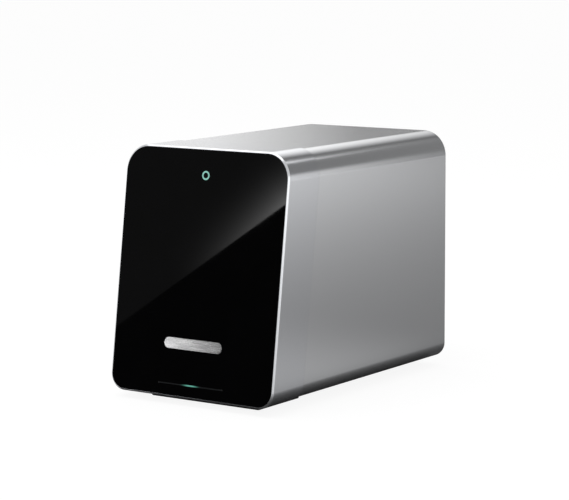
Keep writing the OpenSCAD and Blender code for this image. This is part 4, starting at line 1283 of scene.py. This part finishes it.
@dataclass
class Rocker:
    """Dished rocker of the power switch."""

    x: float = -30.0
    y: float = 90.0
    z: float = 44.6
    width: float = 10.4
    half: float = 7.3
    back: float = 3.5
    radius: float = 9.0
    dish: float = 12.6
    tilt: float = 8.0
    bore: float = 2.1
    soft: float = 0.3

    def build(self) -> None:
        """Build the rocker in its tilted place."""
        shell = Shell("rocker_key")
        reach = math.sqrt(self.radius ** 2 - (self.dish / 2) ** 2)
        span = 2 * math.asin(reach / self.radius)
        shoulder = math.sqrt(self.radius ** 2 - self.half ** 2)
        start = shell.bm.verts.new((0.0, self.dish / 2, reach))
        arc = bmesh.ops.spin(shell.bm, geom=[start], cent=(0, self.dish, 0), axis=(1, 0, 0), dvec=(0, 0, 0),
                             angle=span, steps=16, use_merge=False, use_duplicate=False)
        last = [v for v in arc["geom_last"] if isinstance(v, bmesh.types.BMVert)][0]
        corners = [last, *(shell.bm.verts.new(p) for p in (
            (0.0, shoulder, -self.half), (0.0, -self.back, -self.half), (0.0, -self.back, self.half),
            (0.0, shoulder, self.half))), start]
        for a, b in zip(corners, corners[1:]):
            shell.bm.edges.new((a, b))
        face = bmesh.ops.contextual_create(shell.bm, geom=shell.bm.edges[:])["faces"]
        grown = bmesh.ops.extrude_face_region(shell.bm, geom=face)["geom"]
        moved = [g for g in grown if isinstance(g, bmesh.types.BMVert)]
        bmesh.ops.translate(shell.bm, vec=(self.width, 0, 0), verts=moved)
        bmesh.ops.translate(shell.bm, vec=(-self.width / 2, 0, 0), verts=shell.bm.verts)
        hole = Shell("rocker_bore")
        hole.drill(self.bore, -self.width, self.width, Matrix.Rotation(math.radians(90), 4, "Y"))
        shell.combine(hole, Cut.TAKE_AWAY)
        turn = Matrix.Rotation(math.radians(self.tilt), 4, "X")
        place = Matrix.Translation((self.x, self.y, self.z)) @ turn
        bmesh.ops.transform(shell.bm, matrix=place, verts=shell.bm.verts)
        shell.publish(Body.ROCKER, "black_plastic", ROCKER_PLASTIC, "power_rocker", edge=self.soft,
                      sharp=40.0)


# Carried-over solids


class Carried:
    """The solids that show as they are, each in its slot's finish."""

    def dress(self) -> None:
        """Give every carried-over solid its finish."""
        finishes = {finish.slot: finish for finish in CARRIED}
        for row in frame["record"]["subparts"]:
            solid = frame["nodes"][row["node"]]
            if solid.hide_render:
                continue
            solid.data.materials.clear()
            solid.data.materials.append(finishes[row["material_slot"]].material())
            LOG.info("%s keeps its solid in %s", row["node"], row["material_slot"])

# Studio


def flat_stage(name: str, size: Pair, material: bpy.types.Material) -> bpy.types.Object:
    """Make a flat object of the stage.

    Args:
        name: Its name.
        size: Its sides, in metres.
        material: Its material.

    Returns:
        The object, level and with its middle at the origin.
    """
    bm = bmesh.new()
    verts = bmesh.ops.create_grid(bm, x_segments=1, y_segments=1, size=0.5)["verts"]
    bmesh.ops.scale(bm, vec=(*size, 1.0), verts=verts)
    mesh = bpy.data.meshes.new(name)
    bm.to_mesh(mesh)
    bm.free()
    mesh.materials.append(material)
    made = bpy.data.objects.new(name, mesh)
    bpy.context.scene.collection.objects.link(made)
    return made


def bare_material(name: str) -> bpy.types.Material:
    """Make a material that has no shader yet.

    Args:
        name: Its name.

    Returns:
        The material.
    """
    made = bpy.data.materials.new(name)
    made.use_nodes = True
    made.node_tree.nodes.remove(made.node_tree.nodes["Principled BSDF"])
    return made


@dataclass(frozen=True)
class Ramp:
    """Where a card's extra light starts and where it is full along one of the card's sides, in metres."""

    start: float
    stop: float
    power: float = 1.0

    def wire(self, wires: Wires, along: str) -> Socket:
        """Share of light along the card's own X or Y."""
        share = wires.spread(wires.side(along), 0.0, 1.0, self.start, self.stop, Slope.EVEN)
        return wires.math("POWER", share, self.power)


@dataclass(frozen=True)
class Card:
    """A flat studio card that only mirrored rays see.

    Its own X and Y run along its sides from its middle, and it has a base of light and more light up its
    ramps.
    """

    name: str
    place: Matrix
    size: Pair
    base: float
    peak: float = 0.0
    across: Ramp = Ramp(-1.0, 0.0)
    up: Ramp = Ramp(-1.0, 0.0)

    def build(self) -> None:
        """Build the card."""
        made = flat_stage(self.name, self.size, self.material())
        made.matrix_world = self.place
        made.visible_camera = False
        made.visible_diffuse = False
        made.visible_shadow = False
        made.visible_transmission = False

    def material(self) -> bpy.types.Material:
        """Make the card's light.

        Returns:
            The card's material.
        """
        made = bare_material(self.name)
        wires = Wires(made.node_tree)
        share = wires.math("MULTIPLY", self.across.wire(wires, "X"), self.up.wire(wires, "Y"))
        level = wires.math("MULTIPLY_ADD", share, self.peak, self.base)
        wires.show(wires.add("Emission", {"Strength": level}))
        return made


@dataclass
class Studio:
    """Camera, pale floor, soft lights and the cards that the metal and the panel mirror.

    Lengths are in metres, angles in degrees, and the points on the panel in millimetres. What mirrored rays
    see of the floor is painted light of a lit table: it grows from floor_near by floor_growth times the
    squares of X and Y, within floor_limits. In front, painted_front_pool is added to it over front_pool_fade
    along Y as a painted pool of light. A painted shadow of the object takes it away over painted_shadow_x and
    painted_shadow_y from its middle.
    """

    azimuth: float = 34.8199
    elevation: float = 8.17463
    roll: float = -0.26652
    distance: float = 1.42535
    aim_x: float = 0.00119321
    aim_z: float = 0.00377763
    lens: float = 142.625
    sensor: float = 36.0
    ambient: float = 0.5
    floor_size: Pair = (60.0, 60.0)
    floor_tone: Colour = (0.16, 0.16, 0.16)
    floor_white: float = 0.90
    # What mirrored rays see of the floor: painted light of a lit table, with a painted pool of light in front
    floor_near: float = 0.21
    floor_growth: Triple = (1.55, -0.25, 0.0)
    floor_limits: Pair = (0.15, 1.4)
    painted_front_pool: float = 0.27
    front_pool_fade: Pair = (0.22, 0.0)
    # Reach of the painted shadow of the object on the floor, along X and Y from its middle
    painted_shadow_x: Pair = (0.058, 0.12)
    painted_shadow_y: Pair = (0.14, 0.2)
    wall_y: float = 1.4
    black_size: Pair = (0.26, 0.34)
    black_away: float = 0.95
    black_edge: Pair = (-60.0, 60.0)
    black_sink: float = 0.02
    pale_size: Pair = (0.5, 0.2)
    pale_away: float = 0.85
    pale_left: Pair = (-58.2, 39.5)
    pale_right: Pair = (60.0, 122.1)
    drawer_size: Pair = (0.44, 0.12)
    drawer_up: float = 33.0
    drawer_away: Pair = (0.06, 0.5)
    drawer_lift: float = 0.001

    def build(self) -> None:
        """Build the studio."""
        bpy.context.scene.view_settings.view_transform = "Standard"
        self.camera()
        self.world()
        self.floor()
        self.lamp("overhead", (-0.4, -0.2, 1.6), (-0.1, 0.0, 0.1), (1.6, 1.2), 8.5)
        self.lamp("side", (1.3, -0.9, 0.42), (0.0, 0.0, 0.1), (0.7, 0.5), 1.25)
        for card in (*self.back_cards(), self.drawer_card(), self.black_card(), self.pale_card()):
            card.build()

    def axes(self) -> tuple[Vector, Vector, Vector]:
        """The camera's right, up and backward directions before its roll.

        Returns:
            Three unit vectors.
        """
        turn, tip = math.radians(self.azimuth), math.radians(self.elevation)
        back = Vector((math.sin(turn) * math.cos(tip), -math.cos(turn) * math.cos(tip), math.sin(tip)))
        right = (-back).cross(Vector((0, 0, 1))).normalized()
        return right, right.cross(-back), back

    def eye(self) -> Vector:
        """Place of the camera."""
        right, up, back = self.axes()
        return Vector((0, 0, FORM.middle * MM)) + self.aim_x * right + self.aim_z * up + self.distance * back

    def camera(self) -> None:
        """Camera at the photograph's viewing angle."""
        data = bpy.data.cameras.new("camera")
        data.lens = self.lens
        data.sensor_width = self.sensor
        right, up, back = self.axes()
        turn = math.radians(self.roll)
        level = math.cos(turn) * right + math.sin(turn) * up
        upward = math.cos(turn) * up - math.sin(turn) * right
        turned = Matrix((level, upward, back)).transposed().to_4x4()
        made = bpy.data.objects.new("camera", data)
        made.matrix_world = Matrix.Translation(self.eye()) @ turned
        bpy.context.scene.collection.objects.link(made)
        bpy.context.scene.camera = made

    def world(self) -> None:
        """White surroundings for the eye and for reflections, a plain level for the rest."""
        world = bpy.data.worlds.new("surroundings")
        bpy.context.scene.world = world
        world.use_nodes = True
        wires = Wires(world.node_tree)
        seen = wires.math("MAXIMUM", wires.ray("Is Camera Ray"), self.bent(wires))
        level = wires.spread(seen, self.ambient, 1.0, 0.0, 1.0, Slope.EVEN)
        white = (1.0, 1.0, 1.0, 1.0)
        wires.join(world.node_tree.nodes["Background"], {"Color": white, "Strength": level})

    def bent(self, wires: Wires) -> Socket:
        """Whether a ray was mirrored or refracted."""
        return wires.math("MAXIMUM", wires.ray("Is Glossy Ray"), wires.ray("Is Transmission Ray"))

    def floor(self) -> None:
        """Pale floor that keeps a faint shadow, and that shows mirrored rays a painted light and painted
        shadow of the table.
        """
        material = bare_material("pale_floor")
        wires = Wires(material.node_tree)
        matt = wires.add("BsdfDiffuse", {"Color": opaque(self.floor_tone)})
        white = wires.add("Emission", {"Strength": self.floor_light(wires)})
        wires.show(wires.add("AddShader", {0: matt.outputs[0], 1: white.outputs[0]}))
        flat_stage("floor", self.floor_size, material)

    def floor_light(self, wires: Wires) -> Socket:
        """The floor's white: full for the eye, and for mirrored rays a painted light of a lit table with a
        painted shadow of the object.
        """
        mirrored = wires.math("MULTIPLY", self.bent(wires), self.painted_table_light(wires))
        return wires.math("MULTIPLY_ADD", wires.ray("Is Camera Ray"), self.floor_white, mirrored)

    def painted_table_light(self, wires: Wires) -> Socket:
        """Painted light of the table for mirrored rays: a painted shadow under the object, brighter to the
        sides, and a painted pool of light in front.

        Args:
            wires: The floor's nodes.

        Returns:
            Socket with the painted brightness.
        """
        steps = {0: wires.place(), 1: wires.moved(self.floor_growth)}
        growth = wires.add("VectorMath", steps, operation="DOT_PRODUCT").outputs["Value"]
        least, most = self.floor_limits
        far = wires.math("MAXIMUM", wires.math("ADD", growth, self.floor_near), least)
        held = wires.math("MINIMUM", far, most)
        # Painted pool of light on the floor in front of the object
        front = wires.spread(wires.side("Y"), 0.0, self.painted_front_pool, *self.front_pool_fade)
        return wires.math("MULTIPLY", wires.math("ADD", held, front), self.outside_painted_shadow(wires))

    def outside_painted_shadow(self, wires: Wires) -> Socket:
        """Share of the table's painted light that the painted shadow of the object leaves, none beneath it.

        Args:
            wires: The floor's nodes.

        Returns:
            Socket with the share.
        """
        # Painted shadow of the object on the floor, seen only by mirrored rays
        shares = [wires.spread(wires.math("ABSOLUTE", wires.side(along)), 0.0, 1.0, *fade)
                  for along, fade in (("X", self.painted_shadow_x), ("Y", self.painted_shadow_y))]
        return wires.math("MAXIMUM", *shares)

    def lamp(self, name: str, place: Triple, aim: Triple, size: Pair, power: float) -> None:
        """Add a soft rectangular lamp.

        Args:
            name: Its name.
            place: Where it hangs.
            aim: The point it faces.
            size: Its width and height.
            power: Its power in watts.
        """
        data = bpy.data.lights.new(name, "AREA")
        data.shape = "RECTANGLE"
        data.size, data.size_y = size
        data.energy = power
        made = bpy.data.objects.new(name, data)
        made.location = place
        made.rotation_euler = (Vector(aim) - Vector(place)).to_track_quat("-Z", "Y").to_euler()
        made.visible_camera = False
        bpy.context.scene.collection.objects.link(made)

    def standing(self, name: str, x: Pair, z: Pair, nearer: float, base: float, peak: float,
                 **ramps: Ramp) -> Card:
        """An upright card behind the object, that faces forwards.

        Args:
            name: Its name.
            x: X of its left and right edges.
            z: Z of its lower and upper edges.
            nearer: How far it stands in front of the back wall.
            base: Its base of light.
            peak: Its extra light.
            ramps: Where the extra light is, across and up.

        Returns:
            The card.
        """
        middle = Vector((sum(x) / 2, self.wall_y - nearer, sum(z) / 2))
        place = Matrix.Translation(middle) @ Matrix.Rotation(math.radians(90), 4, "X")
        return Card(name, place, (x[1] - x[0], z[1] - z[0]), base, peak, **ramps)

    def back_cards(self) -> list[Card]:
        """Wall, bright strip, soft box, dark line and low glow behind the object, which the metal mirrors.

        Returns:
            The cards.
        """
        return [
            self.standing("back_wall", (-0.4, 2.0), (0.0, 1.7), 0.0, 0.32, 1.05, across=Ramp(0.08, 0.34),
                          up=Ramp(-0.33, -0.55)),
            self.standing("bright_strip", (0.34, 0.6), (0.85, 1.5), 0.01, 0.34, 1.6, up=Ramp(-0.105, -0.035)),
            self.standing("soft_box", (-1.6, 0.1), (0.47, 1.7), 0.01, 0.2, 2.0, across=Ramp(0.75, -0.05)),
            self.standing("dark_line", (-1.6, -0.35), (0.37, 0.47), 0.02, 0.18, 0.6,
                          across=Ramp(0.175, -0.175)),
            self.standing("low_glow", (-1.6, -0.35), (0.0, 0.37), 0.01, 0.28, 0.8,
                          across=Ramp(0.135, -0.125)),
        ]

    def mirrored(self, x: float, up: float, away: float) -> Vector:
        """Where the eye's ray goes after the panel mirrors it.

        Args:
            x: Distance across the panel, in millimetres.
            up: Distance up the panel, in millimetres.
            away: Distance that the ray travels on, in metres.

        Returns:
            The point that the panel shows there.
        """
        point = FORM.face_point(x, up)
        ray = (point - self.eye()).normalized()
        return point + away * (ray - 2 * ray.dot(FORM.outward) * FORM.outward)

    def facing(self, first: Vector, second: Vector, towards: Vector) -> Matrix:
        """Place of a card whose lower edge runs between two points.

        Args:
            first: Left end of the edge.
            second: Right end of the edge.
            towards: Point that the card faces.

        Returns:
            Matrix whose X runs along the edge, whose Y rises from it and whose origin is the edge's middle.
        """
        middle = (first + second) / 2
        along = (second - first).normalized()
        rise = along.cross(towards - middle).normalized()
        return Matrix.Translation(middle) @ Matrix((along, rise, along.cross(rise))).transposed().to_4x4()

    @property
    def panel_middle(self) -> Vector:
        """Middle of the panel, which its cards face."""
        return FORM.face_point(0.0, FORM.face_length / 2)

    def drawer_card(self) -> Card:
        """Low card in front on the left, which the drawer front mirrors.

        Returns:
            The card, flat on the floor.
        """
        ends = [self.mirrored(0.0, self.drawer_up, away) for away in self.drawer_away]
        for end in ends:
            end.z = self.drawer_lift
        flat = self.facing(*ends, (ends[0] + ends[1]) / 2 + Vector((0.0, 0.0, 1.0)))
        return Card("drawer_card", flat, self.drawer_size, 0.0, 2.6, up=Ramp(-0.02, 0.02))

    def black_card(self) -> Card:
        """Black card that the panel mirrors.

        Returns:
            The card.
        """
        ends = [self.mirrored(x, 0.0, self.black_away) for x in self.black_edge]
        rise = Matrix.Translation((0.0, self.black_size[1] / 2 - self.black_sink, 0.0))
        return Card("black_card", self.facing(*ends, self.panel_middle) @ rise, self.black_size, 0.02)

    def pale_card(self) -> Card:
        """Pale card that the panel mirrors above a slanting edge.

        Returns:
            The card.
        """
        ends = [self.mirrored(*point, self.pale_away) for point in (self.pale_left, self.pale_right)]
        reach = (ends[1] - ends[0]).length / 2
        rise = self.pale_size[1] / 2
        place = self.facing(*ends, self.panel_middle) @ Matrix.Translation((0.0, rise, 0.0))
        return Card("pale_card", place, self.pale_size, 0.09, 2.3, Ramp(-0.4 * reach, reach, 2.2),
                    Ramp(-0.004, -rise, 7.0))


def main() -> None:
    """Build every sub-assembly in order."""
    logging.basicConfig(level=logging.INFO, format="%(name)s: %(message)s")
    Studio().build()
    Casing().build()
    Front().build()
    Drawer().build()
    Foot("front_pad", "front_foot", width=84.0, start=-85.5, length=46.0, step_start=-66.5,
         screw=FRONT_SCREW).build()
    Foot("rear_pad", "rear_foot", width=62.0, start=53.5, length=24.0, step_start=55.1,
         screw=REAR_SCREW).build()
    Rear().build()
    Rocker().build()
    Carried().dress()


if __name__ == "__main__":
    main()
